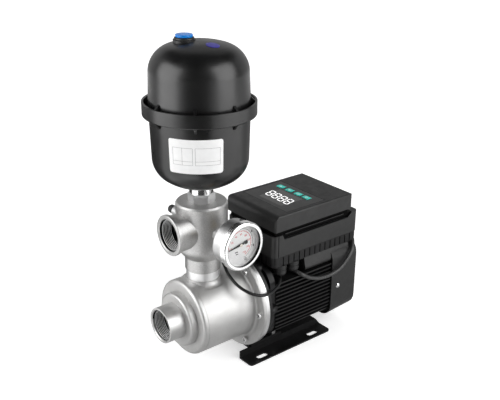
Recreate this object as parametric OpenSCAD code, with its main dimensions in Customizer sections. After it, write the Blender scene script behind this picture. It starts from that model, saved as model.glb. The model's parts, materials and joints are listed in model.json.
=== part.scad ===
// Horizontal multistage pump with a speed drive, a pressure tank on a five-way fitting,
// a pressure gauge and a pressure sensor, on a folded base plate.
// Millimetres. The pump axis runs along X with the fan end at +X. The gauge faces -Y. Z is up.
// The origin is the centre of the four foot slots, on the floor.

/* [Base plate] */
// Length of the base plate along the pump axis
base_l = 162; // [150:1:190]
// Width of the base plate over both foot flanges
base_w = 114; // [106:1:136]
// Height of the raised platform above the floor
platform_h = 13; // [11:0.5:18]
// Thickness of the folded sheet
sheet_t = 2.5; // [2:0.1:3]
// Distance between slot centres along the plate
slot_pitch_x = 102.6; // [86:0.1:120]
// Distance between slot centres across the plate
slot_pitch_y = 92.2; // [88:0.1:104]
// End to end length of each foot slot
slot_l = 20; // [14:1:26]
// Width of each foot slot
slot_w = 9; // [7:0.5:11]

/* [Pump] */
// Outer radius of the pump casing
casing_r = 55.7; // [46:0.1:67]
// Wall thickness of the pressed casing
casing_wall = 2; // [1.5:0.1:3]
// Number of pump stages
stage_count = 4; // [3:1:5]
// Length of one pump stage
stage_pitch = 18; // [16:0.5:22]
// Width of the flange outside the casing
flange_rim = 17.8; // [16:0.1:21]
// Radius of the raised step round the suction port
step_r = 39.5; // [34:0.1:44]

/* [Ports] */
// Outer radius of the suction and discharge pipes
port_r = 26; // [25:0.1:31]
// Wall radius of the threaded ports
port_bore_r = 22.4; // [18:0.1:23]
// Length of the suction pipe in front of the casing step
suction_l = 25.4; // [22:0.1:34]
// Outer radius of the five-way fitting
fitting_r = 36; // [33:0.1:43]
// Height of the discharge axis above the pump axis
discharge_h = 133.5; // [128:0.5:150]

/* [Motor] */
// Half the width of the motor housing across its fins
motor_half = 58.3; // [56:0.1:62]
// Length of the motor housing
motor_l = 111.5; // [92:0.5:134]
// Number of fins on each side of the motor
fin_count = 13; // [9:1:15]
// Length of the fan cover
fan_cover_l = 56.5; // [50:0.5:68]

/* [Drive] */
// Length of the drive housing
drive_l = 168.3; // [160:0.1:200]
// Width of the drive housing
drive_w = 107.6; // [104:0.1:128]
// Height of the finned lower part of the drive
heatsink_h = 15.7; // [12:0.1:22]
// Height of the smooth band of the drive housing
housing_h = 33.7; // [28:0.1:42]
// Length of the drive lid
lid_l = 152; // [146:0.1:158]
// Height of the drive lid
lid_h = 24; // [20:0.1:30]

/* [Tank] */
// Radius of the tank at its seam
tank_r = 66.6; // [56:0.1:80]
// Straight length of the lower tank shell
tank_lower_l = 66; // [55:1:80]
// Straight length of the upper tank shell
tank_upper_l = 46; // [38:1:56]
// Wall thickness of the tank shells
tank_wall = 2.5; // [2:0.1:4]

/* [Gauge] */
// Radius of the gauge case
gauge_r = 31.5; // [26:0.1:38]
// Angle of the pointer at rest, clockwise down from level
pointer_droop = 8.5; // [0:0.5:45]

/* [Cables] */
// Diameter of the sensor cable
sensor_cable_d = 4.5; // [3.5:0.1:5.5]
// Diameter of the motor cable
motor_cable_d = 6; // [4:0.1:6.4]

/* [Hidden] */
$fn = 64;
eps = 0.01;
// Gap between pieces that move past each other, and round pieces that only rest in a hole
gap = 0.3;
hull_fn = 32;

// Base plate
wall_y = 31.4;
base_corner = 5;
tab_x = -63;
ramp_l = 8;
flange_clear = 1.5;

// Pump axis and flange
flange_r = casing_r + flange_rim;
axis_h = platform_h + flange_clear + flange_r;
coupling_x = -60;
flange_t = 5.5;
flange_front_x = coupling_x - 2 * flange_t;
inlet_l = 19.3;
casing_l = inlet_l + stage_count * stage_pitch;
casing_x = flange_front_x - casing_l;
casing_edge = 4.5;
step_l = 11.1;
step_edge = 3.5;
step_x = casing_x - step_l;
bolt_circle = casing_r + 8.8;
bolt_count = 6;
bolt_r = 2.9;
bolt_hole_r = 3.1;
bolt_head_r = 4.8;
bolt_head_h = 4.6;
socket_r = 2.9;
seam_w = 0.8;
seam_d = 0.35;
flange_fillet = 3;
rim_groove = 0.65;
face_groove_r = 61.6;

// Riser on the casing
riser_x = casing_x + 37.8;
riser_r = 23.5;
riser_bore = 18;
collar_r = 24.3;
collar_z = axis_h + casing_r + 1.3;
collar_flare = 8;
neck_z = collar_z + 13;
neck_r = 25;
neck_bore = 20.9;
discharge_z = axis_h + discharge_h;
fitting_top = discharge_z + 38;
shoulder_z = discharge_z - 31.5;
taper_z = shoulder_z - 13;
fitting_wall = 6;
mouth_x = riser_x - 56;
bead_r = port_r + 2.8;
bead_l = 5.5;
boss_r = 10;
boss_y = fitting_r + 5;
boss_bore = 6.6;
spigot_r = 6.4;
mouth_chamfer = 1.4;
thread_l = 20;

// Pump inside
shaft_r = 7;
seat_r = 7.5;
core_shaft_r = 10;
chamber_r = casing_r - casing_wall - 3;
chamber_wall = 1.5;
eye_r = 14;
impeller_r = chamber_r - chamber_wall - 4;
impeller_w = 8.4;
shroud_t = 1.2;
vane_t = 1.6;
vane_count = 6;
hub_r = 10;
stack_gap = 0.1;
spigot_t = 6.5;
seal_r = 13;
plate_bore = 9;
stage_x = flange_front_x - spigot_t + 5.3 - stage_count * stage_pitch;

// Motor
motor_x = coupling_x + 23.5;
motor_end = motor_x + motor_l;
motor_corner = 26;
cover_corner = 22;
barrel_r = 49.5;
stator_r = 46.2;
rotor_r = 28;
core_l = 60;
core_x = motor_x + 28.5;
fin_t = 2.2;
fin_low = -43;
fin_high = 34.5;
fin_pitch = (fin_high - fin_low) / (fin_count - 1);
bottom_fins = 11;
tie_bolt = [33, 40.2];
tie_boss = 4.6;
tie_hole = 2.6;
bearing_r = 17.5;
bearing_w = 11;
ball_r = 2.7;
ball_circle = 12.5;
ball_count = 8;
front_bearing_x = motor_x + 1.5;
rear_bearing_x = motor_end - 9;
ring_r = flange_r - 2.5;
ring_in = 50;
ring_t = 7;
rear_plate_t = 9.5;
wall_out = 66;
wall_in = 60;
foot_l = 60;
foot_w = 61;
foot_t = 5;
foot_bolt_x = [-46, -14.6];
foot_bolt_y = 24.3;
foot_bolt_r = 2.9;
foot_head_r = 5.8;
foot_head_h = 4;

// Fan and its cover
shield_t = 8;
shield_half = motor_half - 2.3;
fan_x = motor_end + 14;
fan_l = 18;
fan_r = 46;
blade_count = 8;
cover_half = motor_half + 2.2;
cover_t = 2;
cover_end = motor_end + fan_cover_l;
cover_screw_x = motor_end + 14.6;
cover_screw_z = -7.3;
screw_r = 2;
grille_r = 45;
grille_pitch = 10;
grille_slot = 5;

// Drive
drive_x = motor_x - 1.8;
drive_z = axis_h + motor_half + 1;
housing_z = drive_z + heatsink_h;
rim_z = housing_z + housing_h;
lid_z = rim_z + 7.7;
lid_top = lid_z + lid_h;
lid_w = drive_w + 5.2;
drive_corner = 7;
saddle_x = 21;
saddle_end = 112;
saddle_low = 57.5;
saddle_round = 6;
saddle_lean = 15;
saddle_z = axis_h + 38;
fin_slot = 1.8;
fin_slot_d = 9;
slot_step = 10.4;
slot_x = -20;
recess_x = [-19, 114];
lid_wall = 2.8;
lid_roof = 3.5;
panel_x = [-12.6, 62.5];
panel_w = 100;
panel_t = 0.5;
window_x = [-3, 38.4];
window_y = [-27.5, 23.5];
button_x = 46;
button_y = [30.4, 10.7, -8.8, -26.7];
button_l = 6.4;
button_w = 12.4;
button_up = 0.7;
button_down = 7.2;
board_t = 1.6;
board_drop = 9.8;
post_r = 3;
board_post_x = [-10, 62];
board_post_y = 38;
power_post_x = [-24, 98];
power_post_y = 40;
gland_x = [-19.4, 5];
gland_y = -46;
gland_r = 9.6;
gland_h = 17.8;

// Tank
nipple_hex = 19;
nipple_h = 12;
nipple_turn = 21;
tank_bottom = fitting_top + nipple_h + 8.5;
low_r = tank_r - 1.8;
low_crown = tank_r * 1.321;
low_knuckle = tank_r * 0.521;
low_z = tank_bottom + dish_depth(low_r, low_crown, low_knuckle);
seam_z = low_z + tank_lower_l;
up_r = tank_r - 1.4;
up_crown = tank_r * 2.102;
up_knuckle = tank_r * 0.5405;
up_z = seam_z + tank_upper_l;
tank_top = up_z + dish_depth(up_r, up_crown, up_knuckle);
ring_out = tank_r + 8.5;
ring_wall = 2.9;
rim_r = ring_out - ring_wall;
rim_t = 3.4;
rubber_t = 1.2;
crown_steps = 14;
knuckle_steps = 20;
seat_gap = 0.1;
gusset_count = 8;
gusset_t = 3.5;
gusset_turn = 5;
valve_dx = -13.5;
valve_dy = 11.5;
valve_base_r = 14.5;
valve_z = tank_top + 1;
cap_r = 12.5;
cap_h = 8;
cap_lift = 12;

// Gauge, seen from -Y
gauge_z = discharge_z - 1;
gauge_turn = 3;
gauge_back = boss_y + 18.5;
case_d = 24;
case_wall = 1.2;
lens_t = 2.6;
bezel_r = gauge_r + 2.5;
bezel_in = gauge_r - 3.2;
dial_at = 19;
dial_t = 1;
pointer_at = 21;
filler_at = 14;
filler_turn = 72;
pointer_t = 0.8;

// Sensor
sensor_z = discharge_z;
sensor_r = 7;
sensor_l = 25;
plug_r = 6.2;
plug_l = 12;
plug_y = boss_y + sensor_l + plug_l / 2;
plug_side = 14;
plug_side_r = 3.4;

// Cables, as points along their centre lines
cable_sides = 10;
cable_steps = 2;
sensor_route = [
    [-19.4, -46, 134.5],
    [-20, -47.5, 129.5],
    [-23, -51, 127.5],
    [-29, -58, 128],
    [-39.5, -65, 124.5],
    [-60, -72, 123.5],
    [-77, -72.5, 126],
    [-91, -64.5, 131.5],
    [-99.5, -49.5, 139],
    [-101, -30, 148.5],
    [-93.5, -6, 157],
    [-91.5, 12, 162],
    [-90.5, 30, 173],
    [-90.5, 46, 188],
    [-92.5, 60, 205.5],
    [-97.5, 69, 217],
    [-103.5, 72, 221.3],
    [-110.5, 72, 221.5]];
motor_route = [
    [5, -46, 134.5],
    [6.5, -48.5, 129.5],
    [9, -56, 127.5],
    [12.5, -61.5, 125],
    [20, -63, 120],
    [30, -64, 115],
    [47, -64.7, 110],
    [67, -64.7, 109],
    [86, -64.7, 113],
    [101.5, -64.3, 124],
    [112.5, -62.5, 134.5],
    [119, -58, 141.5],
    [124, -53, 145],
    [126, -50.5, 147.3]];

// Height of a dished end whose crown and knuckle arcs run into each other without a step
function dish_depth(r, crown, knuckle) =
    crown - sqrt(pow(crown - knuckle, 2) - pow(r - knuckle, 2));

// Children drawn with local Z along the pump axis, local X across and local Y up
module axial(x) {
    translate([x, 0, axis_h]) rotate([90, 0, 90]) children();
}

// Children drawn with local Z away from the riser towards the gauge, at a distance from its axis
module gauge_side(out) {
    translate([riser_x, 0, gauge_z]) rotate(gauge_turn) translate([0, -out, 0])
        rotate([90, 0, 0]) children();
}

// Children drawn with local Z towards the sensor side
module backward(x, y, z) {
    translate([x, y, z]) rotate([-90, 0, 0]) children();
}

module pipe(r_out, r_in, h) {
    difference() {
        cylinder(r = r_out, h = h);
        translate([0, 0, -eps]) cylinder(r = r_in, h = h + 2 * eps);
    }
}

// Rectangle with round corners, centred
module rounded(w, h, r) {
    square([w - 2 * r, h], center = true);
    square([w, h - 2 * r], center = true);
    for (x = [-1, 1], y = [-1, 1])
        translate([x * (w / 2 - r), y * (h / 2 - r)]) circle(r);
}

// Half section of a disc whose lower edge is round
module round_foot(r, h, e) {
    translate([0, e]) square([r, h - e]);
    square([r - e, e + eps]);
    intersection() {
        translate([r - e, e]) circle(e);
        square([r, e + eps]);
    }
}

// Box from two x values, a width centred on y and two z values
module slab(x0, x1, w, z0, z1) {
    translate([x0, -w / 2, z0]) cube([x1 - x0, w, z1 - z0]);
}

module hexagon(af, h) {
    cylinder(r = af / sqrt(3), h = h, $fn = 6);
}

// Base

module slot_cut(x, y) {
    translate([x, y, -1]) linear_extrude(height = sheet_t + 2)
        rounded(slot_l, slot_w, slot_w / 2 - eps);
}

module base_plate() {
    color("dimgray") difference() {
        union() {
            difference() {
                linear_extrude(height = sheet_t) rounded(base_l, base_w, base_corner);
                slab(-base_l, base_l, 2 * (wall_y - sheet_t), -1, sheet_t + 1);
            }
            for (side = [-1, 1])
                translate([0, side * (wall_y - sheet_t / 2) + sheet_t / 2, 0])
                    rotate([90, 0, 0]) linear_extrude(height = sheet_t) polygon([
                        [-base_l / 2, 0],
                        [base_l / 2, 0],
                        [base_l / 2, sheet_t],
                        [base_l / 2 - ramp_l, platform_h],
                        [-base_l / 2, platform_h]]);
            slab(tab_x, base_l / 2 - ramp_l, 2 * wall_y, platform_h - sheet_t, platform_h);
        }
        for (x = [-1, 1], y = [-1, 1])
            slot_cut(x * slot_pitch_x / 2, y * slot_pitch_y / 2);
        for (x = foot_bolt_x, y = [-1, 1])
            translate([x, y * foot_bolt_y, 0]) cylinder(r = bolt_hole_r, h = 2 * platform_h);
    }
}

module foot_bolts() {
    color("gainsboro") for (x = foot_bolt_x, y = [-1, 1])
        translate([x, y * foot_bolt_y, platform_h + foot_t]) {
            cylinder(r = foot_head_r, h = foot_head_h, $fn = 6);
            translate([0, 0, -foot_t - sheet_t - 1.5])
                cylinder(r = foot_bolt_r, h = foot_t + sheet_t + 2);
        }
}

// Pump

module casing_solid(inset) {
    round_foot(casing_r - inset, casing_l + flange_t, casing_edge - inset);
}

module pump_casing() {
    color("silver") difference() {
        union() {
            axial(casing_x) rotate_extrude() {
                round_foot(casing_r, casing_l + flange_t, casing_edge);
                translate([0, -step_l]) round_foot(step_r, step_l + casing_wall, step_edge);
                translate([0, casing_l]) square([flange_r, flange_t]);
                difference() {
                    translate([casing_r - 1, casing_l - flange_fillet])
                        square([flange_fillet + 1, flange_fillet + 1]);
                    translate([casing_r + flange_fillet, casing_l - flange_fillet])
                        circle(flange_fillet);
                }
            }
            translate([riser_x, 0, 0]) rotate_extrude() {
                translate([0, axis_h + casing_r - 20]) square([collar_r, 20 + collar_z - axis_h - casing_r]);
                difference() {
                    translate([collar_r - 1, collar_z - collar_flare])
                        square([collar_flare + 1, collar_flare]);
                    translate([collar_r + collar_flare, collar_z]) circle(collar_flare);
                }
            }
        }
        axial(casing_x) rotate_extrude() {
            translate([0, casing_wall])
                round_foot(casing_r - casing_wall, casing_l + flange_t, casing_edge - casing_wall);
            translate([0, casing_wall - step_l])
                round_foot(step_r - casing_wall, step_l + casing_wall, step_edge - casing_wall);
            translate([0, -step_l - 1]) square([port_bore_r + 1.6, step_l]);
            translate([casing_r - seam_d, casing_edge + 3]) square([seam_d + 1, seam_w]);
            translate([flange_r - seam_d, casing_l + rim_groove]) square([seam_d + 1, rim_groove]);
            translate([face_groove_r, casing_l - 1]) square([rim_groove, 1 + seam_d]);
        }
        translate([riser_x, 0, axis_h]) cylinder(r = neck_bore, h = casing_r + collar_flare);
        axial(flange_front_x - 1) for (i = [0 : bolt_count - 1])
            rotate(i * 360 / bolt_count) translate([bolt_circle, 0])
                cylinder(r = bolt_hole_r, h = flange_t + 2);
    }
}

// Turned pipe welded on the step; its spigot sits in the hole of the pressed casing
module suction_port() {
    color("silver") axial(step_x - suction_l) rotate_extrude() difference() {
        union() {
            translate([0, 0]) square([port_r, suction_l]);
            translate([0, suction_l - 1]) square([port_bore_r + 1.6, 1 + casing_wall]);
        }
        translate([0, -1]) square([port_bore_r, mouth_chamfer + thread_l + 1]);
        translate([0, -1]) square([riser_bore, suction_l + casing_wall + 2]);
        polygon([
            [0, -eps],
            [port_bore_r + mouth_chamfer, -eps],
            [port_bore_r, mouth_chamfer],
            [0, mouth_chamfer]]);
    }
}

module casing_back_plate() {
    color("lightgray") axial(coupling_x - flange_t) difference() {
        rotate_extrude() difference() {
            union() {
                square([flange_r, flange_t]);
                translate([0, -spigot_t]) square([casing_r - casing_wall - 0.4, spigot_t + 1]);
            }
            translate([0, -spigot_t - 1]) square([plate_bore, spigot_t + flange_t + 2]);
            translate([0, -spigot_t - 1]) square([seal_r + 2.5, 1 + spigot_t - 1.2]);
            translate([0, -1.2 - eps]) square([seal_r + 1, 5 + eps]);
            translate([casing_r - casing_wall - 3.5, -4.6]) square([4, 3.2]);
        }
        for (i = [0 : bolt_count - 1])
            rotate(i * 360 / bolt_count) translate([bolt_circle, 0, -1])
                cylinder(r = bolt_hole_r, h = flange_t + 2);
    }
}

module casing_o_ring() {
    color("black") axial(coupling_x - flange_t - 3) rotate_extrude()
        translate([casing_r - casing_wall - 1.75, 0]) circle(1.55);
}

// Cap screws with a six-sided socket, heads towards the suction side
module flange_bolts() {
    color("white") axial(flange_front_x) for (i = [0 : bolt_count - 1])
        rotate(i * 360 / bolt_count) translate([bolt_circle, 0]) difference() {
            union() {
                translate([0, 0, -bolt_head_h]) rotate_extrude()
                    round_foot(bolt_head_r, bolt_head_h, 1.4);
                cylinder(r = bolt_r, h = 2 * flange_t + ring_t + 4);
            }
            translate([0, 0, -bolt_head_h - 1]) cylinder(r = socket_r, h = 3.6, $fn = 6);
        }
}

// One backward-curved vane between two radii, drawn flat
module vane(r_in, r_out) {
    centre = (r_out + r_in) / 2;
    sweep = (r_out - r_in) / 2 + 3;
    intersection() {
        translate([centre, 0]) difference() {
            circle(sweep + vane_t / 2);
            circle(sweep - vane_t / 2);
        }
        difference() {
            circle(r_out);
            circle(r_in);
        }
        translate([-r_out, 0]) square([2 * r_out, r_out]);
    }
}

module impellers() {
    color("silver") for (s = [0 : stage_count - 1])
        axial(stage_x + s * stage_pitch) difference() {
            union() {
                cylinder(r = hub_r, h = stage_pitch - stack_gap);
                translate([0, 0, 3]) pipe(impeller_r, eye_r - 2, shroud_t);
                translate([0, 0, 3 + impeller_w - shroud_t]) cylinder(r = impeller_r, h = shroud_t);
                translate([0, 0, 3 + shroud_t - eps])
                    linear_extrude(height = impeller_w - 2 * shroud_t + 2 * eps)
                        for (i = [0 : vane_count - 1])
                            rotate(i * 360 / vane_count) vane(hub_r - 0.5, impeller_r - 0.5);
            }
            translate([0, 0, -1]) cylinder(r = shaft_r, h = stage_pitch + 2);
        }
}

// Each chamber: a plate with an eye hole, an outer wall, and return vanes on a guide disc
module stage_chambers() {
    color("silver") for (s = [0 : stage_count - 1])
        axial(stage_x + s * stage_pitch) difference() {
            union() {
                pipe(chamber_r, chamber_r - chamber_wall, stage_pitch - stack_gap);
                pipe(chamber_r, eye_r, chamber_wall);
                translate([0, 0, 12]) pipe(impeller_r, eye_r, shroud_t);
                translate([0, 0, 12 + shroud_t - eps])
                    linear_extrude(height = stage_pitch - 12 - shroud_t - gap)
                        for (i = [0 : vane_count - 1])
                            rotate(i * 360 / vane_count) vane(eye_r + 1, chamber_r - 0.5);
            }
        }
}

module impeller_nut() {
    color("silver") axial(stage_x - 8) difference() {
        hexagon(19, 8);
        translate([0, 0, -1]) cylinder(r = shaft_r, h = 10);
    }
}

module shaft() {
    color("silver") {
        axial(stage_x - 10) cylinder(r = shaft_r, h = front_bearing_x - stage_x + 10);
        axial(front_bearing_x) cylinder(r = seat_r, h = rear_bearing_x + bearing_w - front_bearing_x);
        axial(front_bearing_x + bearing_w)
            cylinder(r = core_shaft_r, h = rear_bearing_x - front_bearing_x - bearing_w);
        axial(rear_bearing_x) cylinder(r = shaft_r, h = fan_x + fan_l + 2 - rear_bearing_x);
    }
}

module seal_seat() {
    color("ivory") axial(coupling_x - flange_t - 1.2) pipe(seal_r + 1, plate_bore - 0.6, 5);
}

module seal_head() {
    color("black") axial(coupling_x - flange_t - 1.2 - gap - 4.6) pipe(seal_r, shaft_r, 4.6);
}

// Motor

module motor_bracket() {
    color("black") difference() {
        union() {
            axial(coupling_x) {
                pipe(ring_r, ring_in, ring_t);
                // Closed wall of the lower half
                intersection() {
                    pipe(wall_out, wall_in, motor_x - coupling_x - rear_plate_t + 1);
                    translate([-ring_r, -2 - ring_r, 1]) cube([2 * ring_r, ring_r, foot_l]);
                }
                translate([0, 0, motor_x - coupling_x - rear_plate_t])
                    linear_extrude(height = rear_plate_t)
                        rounded(2 * motor_half - 3.6, 2 * motor_half - 3.6, motor_corner);
                for (i = [0 : bolt_count - 1]) rotate(i * 360 / bolt_count) {
                    translate([ring_in, -5, 0]) cube([ring_r - ring_in - 5, 10, 20]);
                    translate([bolt_circle, 0]) cylinder(r = 6, h = 13);
                }
                translate([0, 0, 17]) cylinder(r = bearing_r + 4.5, h = 6.5 + bearing_w + 1.5);
                translate([0, 0, motor_x - coupling_x - 1])
                    pipe(stator_r, stator_r - 5, 5);
            }
            slab(coupling_x + 1, coupling_x + foot_l, foot_w, platform_h, platform_h + foot_t);
            for (side = [-1, 1]) translate([0, side * 6 + 2, 0]) rotate([90, 0, 0])
                linear_extrude(height = 4) polygon([
                    [coupling_x + 1, platform_h + 1],
                    [coupling_x + foot_l, platform_h + 1],
                    [coupling_x + foot_l, platform_h + foot_t + 2],
                    [motor_x, axis_h - motor_half - 2],
                    [motor_x, axis_h - ring_in],
                    [coupling_x + 1, axis_h - ring_in]]);
        }
        axial(coupling_x - 1) cylinder(r = seat_r + 4, h = foot_l);
        axial(front_bearing_x) cylinder(r = bearing_r, h = 2 * bearing_w);
        axial(coupling_x - 1) for (i = [0 : bolt_count - 1])
            rotate(i * 360 / bolt_count) translate([bolt_circle, 0])
                cylinder(r = bolt_hole_r, h = ring_t + 6);
        axial(motor_x - rear_plate_t - 1) for (x = [-1, 1], y = [-1, 1])
            translate([x * tie_bolt[0], y * tie_bolt[1]])
                cylinder(r = tie_hole, h = rear_plate_t + 2);
        for (x = foot_bolt_x, y = [-1, 1])
            translate([x, y * foot_bolt_y, platform_h - 1])
                cylinder(r = bolt_hole_r, h = foot_t + 2);
    }
}

module motor_section() {
    difference() {
        intersection() {
            rounded(2 * motor_half, 2 * motor_half, motor_corner);
            union() {
                circle(barrel_r);
                for (i = [0 : fin_count - 1])
                    translate([-motor_half, fin_low + i * fin_pitch - fin_t / 2])
                        square([2 * motor_half, fin_t]);
                for (i = [0 : bottom_fins - 1])
                    translate([(i - (bottom_fins - 1) / 2) * fin_pitch - fin_t / 2, -motor_half])
                        square([fin_t, motor_half]);
                for (x = [-1, 1], y = [-1, 1])
                    translate([x * tie_bolt[0], y * tie_bolt[1]]) circle(tie_boss);
            }
        }
        circle(stator_r);
        for (x = [-1, 1], y = [-1, 1])
            translate([x * tie_bolt[0], y * tie_bolt[1]]) circle(tie_hole);
    }
}

module motor_housing() {
    color("black") axial(motor_x) linear_extrude(height = motor_l) motor_section();
}

module stator_core() {
    color("gray") axial(core_x) difference() {
        pipe(stator_r, rotor_r + 0.4, core_l);
        for (i = [0 : 11]) rotate(i * 30) translate([37, 0, -1]) cylinder(r = 3, h = core_l + 2);
    }
}

// Copper bars through the stator slots, joined by the end turns
module stator_winding() {
    color("peru") axial(core_x) {
        for (i = [0 : 11]) rotate(i * 30) translate([37, 0, -1])
            cylinder(r = 2.8, h = core_l + 2);
        translate([0, 0, -9]) pipe(43, 31, 9);
        translate([0, 0, core_l]) pipe(43, 31, 9);
    }
}

module rotor_core() {
    color("gray") axial(core_x) pipe(rotor_r, core_shaft_r, core_l);
}

module bearing_outer_rings() {
    color("silver") for (x = [front_bearing_x, rear_bearing_x]) axial(x) rotate_extrude()
        difference() {
            translate([bearing_r - 3.5, 0]) square([3.5, bearing_w]);
            translate([ball_circle, bearing_w / 2]) circle(ball_r + 0.1);
        }
}

module bearing_inner_rings() {
    color("silver") for (x = [front_bearing_x, rear_bearing_x]) axial(x) rotate_extrude()
        difference() {
            translate([seat_r, 0]) square([3.5, bearing_w]);
            translate([ball_circle, bearing_w / 2]) circle(ball_r + gap);
        }
}

module bearing_balls() {
    color("white") for (x = [front_bearing_x, rear_bearing_x])
        axial(x + bearing_w / 2) for (i = [0 : ball_count - 1])
            rotate(i * 360 / ball_count) translate([ball_circle, 0]) sphere(ball_r);
}

module rear_end_shield() {
    color("dimgray") axial(motor_end) difference() {
        union() {
            linear_extrude(height = shield_t)
                rounded(2 * shield_half, 2 * shield_half, motor_corner - 2);
            translate([0, 0, -9]) cylinder(r = bearing_r + 4.5, h = 10);
            translate([0, 0, -4]) pipe(stator_r, stator_r - 5, 5);
            for (side = [-1, 1])
                translate([side * (shield_half - 5) - 5, cover_screw_z - 7, 0]) cube([10, 14, 20]);
        }
        translate([0, 0, -10]) cylinder(r = bearing_r, h = bearing_w + 1);
        translate([0, 0, -10]) cylinder(r = seat_r + 4, h = 30);
        for (x = [-1, 1], y = [-1, 1])
            translate([x * tie_bolt[0], y * tie_bolt[1], -1]) cylinder(r = tie_hole, h = 20);
        for (side = [0, 1]) mirror([side, 0, 0])
            translate([shield_half - 9, cover_screw_z, cover_screw_x - motor_end])
                rotate([0, 90, 0]) cylinder(r = screw_r + 0.1, h = 12);
    }
}

module housing_bolts() {
    color("silver") axial(motor_end + shield_t) for (x = [-1, 1], y = [-1, 1])
        translate([x * tie_bolt[0], y * tie_bolt[1]]) {
            hexagon(8, 3.5);
            translate([0, 0, -shield_t - motor_l - 4]) cylinder(r = 2.4, h = shield_t + motor_l + 5);
        }
}

module fan() {
    color("dimgray") axial(fan_x) difference() {
        union() {
            cylinder(r = 12, h = fan_l);
            cylinder(r = fan_r - 4, h = 2);
            for (i = [0 : blade_count - 1]) rotate(i * 360 / blade_count)
                translate([10, -1, 0]) cube([fan_r - 10, 2, fan_l]);
        }
        translate([0, 0, -1]) cylinder(r = shaft_r, h = fan_l + 2);
    }
}

// Slightly tapered cup with a slotted end wall
module fan_cover() {
    color("black") difference() {
        intersection() {
            axial(motor_end) hull() {
                linear_extrude(height = 1) rounded(2 * cover_half, 2 * cover_half, cover_corner,
                    $fn = hull_fn);
                translate([0, 0, fan_cover_l - 4]) linear_extrude(height = 1)
                    rounded(2 * motor_half, 2 * motor_half, cover_corner, $fn = hull_fn);
                translate([0, 0, fan_cover_l - 1]) linear_extrude(height = 1)
                    rounded(2 * motor_half - 5, 2 * motor_half - 5, cover_corner - 2.5,
                        $fn = hull_fn);
            }
            slab(motor_end, cover_end, 3 * motor_half, 0, drive_z - gap);
        }
        axial(motor_end) hull() {
            translate([0, 0, -1]) linear_extrude(height = 1)
                rounded(2 * (cover_half - cover_t), 2 * (cover_half - cover_t),
                    cover_corner - cover_t, $fn = hull_fn);
            translate([0, 0, fan_cover_l - cover_t - 3]) linear_extrude(height = 1)
                rounded(2 * (motor_half - cover_t), 2 * (motor_half - cover_t),
                    cover_corner - cover_t, $fn = hull_fn);
        }
        axial(cover_end - cover_t - 4) intersection() {
            cylinder(r = grille_r, h = cover_t + 6);
            for (i = [-4 : 4], j = [-1 : 1])
                translate([j * 31 - 14, i * grille_pitch - grille_slot / 2, 0])
                    cube([28, grille_slot, cover_t + 6]);
        }
        for (side = [-1, 1]) axial(cover_screw_x)
            translate([side * (cover_half - 8), cover_screw_z, 0]) rotate([0, side * 90, 0])
                cylinder(r = screw_r + 0.2, h = 20);
    }
}

module fan_cover_screws() {
    color("white") for (side = [-1, 1])
        axial(cover_screw_x) translate([side * (cover_half - 0.4), cover_screw_z, 0])
            rotate([0, side * 90, 0]) {
                rotate_extrude() intersection() {
                    translate([0, -2.6]) circle(4.8);
                    square([4, 3]);
                }
                translate([0, 0, -9]) cylinder(r = screw_r, h = 9 + eps);
            }
}

// Drive

// Terminal block between the motor barrel and the drive, shaped round the fan cover
module drive_saddle() {
    side_y = saddle_low - saddle_round * (1 - cos(saddle_lean));
    side_z = saddle_z + saddle_round * (1 + sin(saddle_lean));
    top_y = side_y - (drive_z - side_z) * tan(saddle_lean);
    color("black") difference() {
        translate([saddle_x, 0, 0]) rotate([90, 0, 90])
            linear_extrude(height = saddle_end - saddle_x) {
                polygon([
                    [-saddle_low + saddle_round, saddle_z],
                    [saddle_low - saddle_round, saddle_z],
                    [side_y, side_z],
                    [top_y, drive_z],
                    [-top_y, drive_z],
                    [-side_y, side_z]]);
                for (side = [-1, 1])
                    translate([side * (saddle_low - saddle_round), saddle_z + saddle_round])
                        circle(saddle_round);
            }
        axial(0) cylinder(r = barrel_r + seat_gap, h = 200);
        axial(motor_end - gap) linear_extrude(height = 100)
            rounded(2 * (cover_half + gap), 2 * (cover_half + gap), cover_corner);
        axial(motor_x) for (x = [-1, 1]) translate([x * tie_bolt[0], tie_bolt[1]])
            cylinder(r = tie_boss + gap, h = motor_l + shield_t);
    }
}

module drive_outline(h, spread = 0) {
    translate([drive_x + drive_l / 2, 0]) linear_extrude(height = h)
        rounded(drive_l + 2 * spread, drive_w + 2 * spread, drive_corner);
}

module drive_base() {
    color("black") difference() {
        union() {
            translate([0, 0, drive_z]) drive_outline(heatsink_h);
            for (x = power_post_x, y = [-1, 1])
                translate([x, y * power_post_y, housing_z - 1]) cylinder(r = post_r, h = 10);
        }
        for (i = [0 : 13], side = [-1, 1])
            translate([slot_x + i * slot_step - fin_slot / 2,
                    side * (drive_w / 2 - fin_slot_d / 2) - fin_slot_d / 2 - (side < 0 ? 1 : -1),
                    drive_z - 1])
                cube([fin_slot, fin_slot_d, heatsink_h - 0.8]);
        for (i = [0 : 7], x = [drive_x - 1, drive_x + drive_l - 5])
            translate([x, (i - 3.5) * slot_step - fin_slot / 2, drive_z - 1])
                cube([6, fin_slot, heatsink_h - 0.8]);
    }
}

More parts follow.
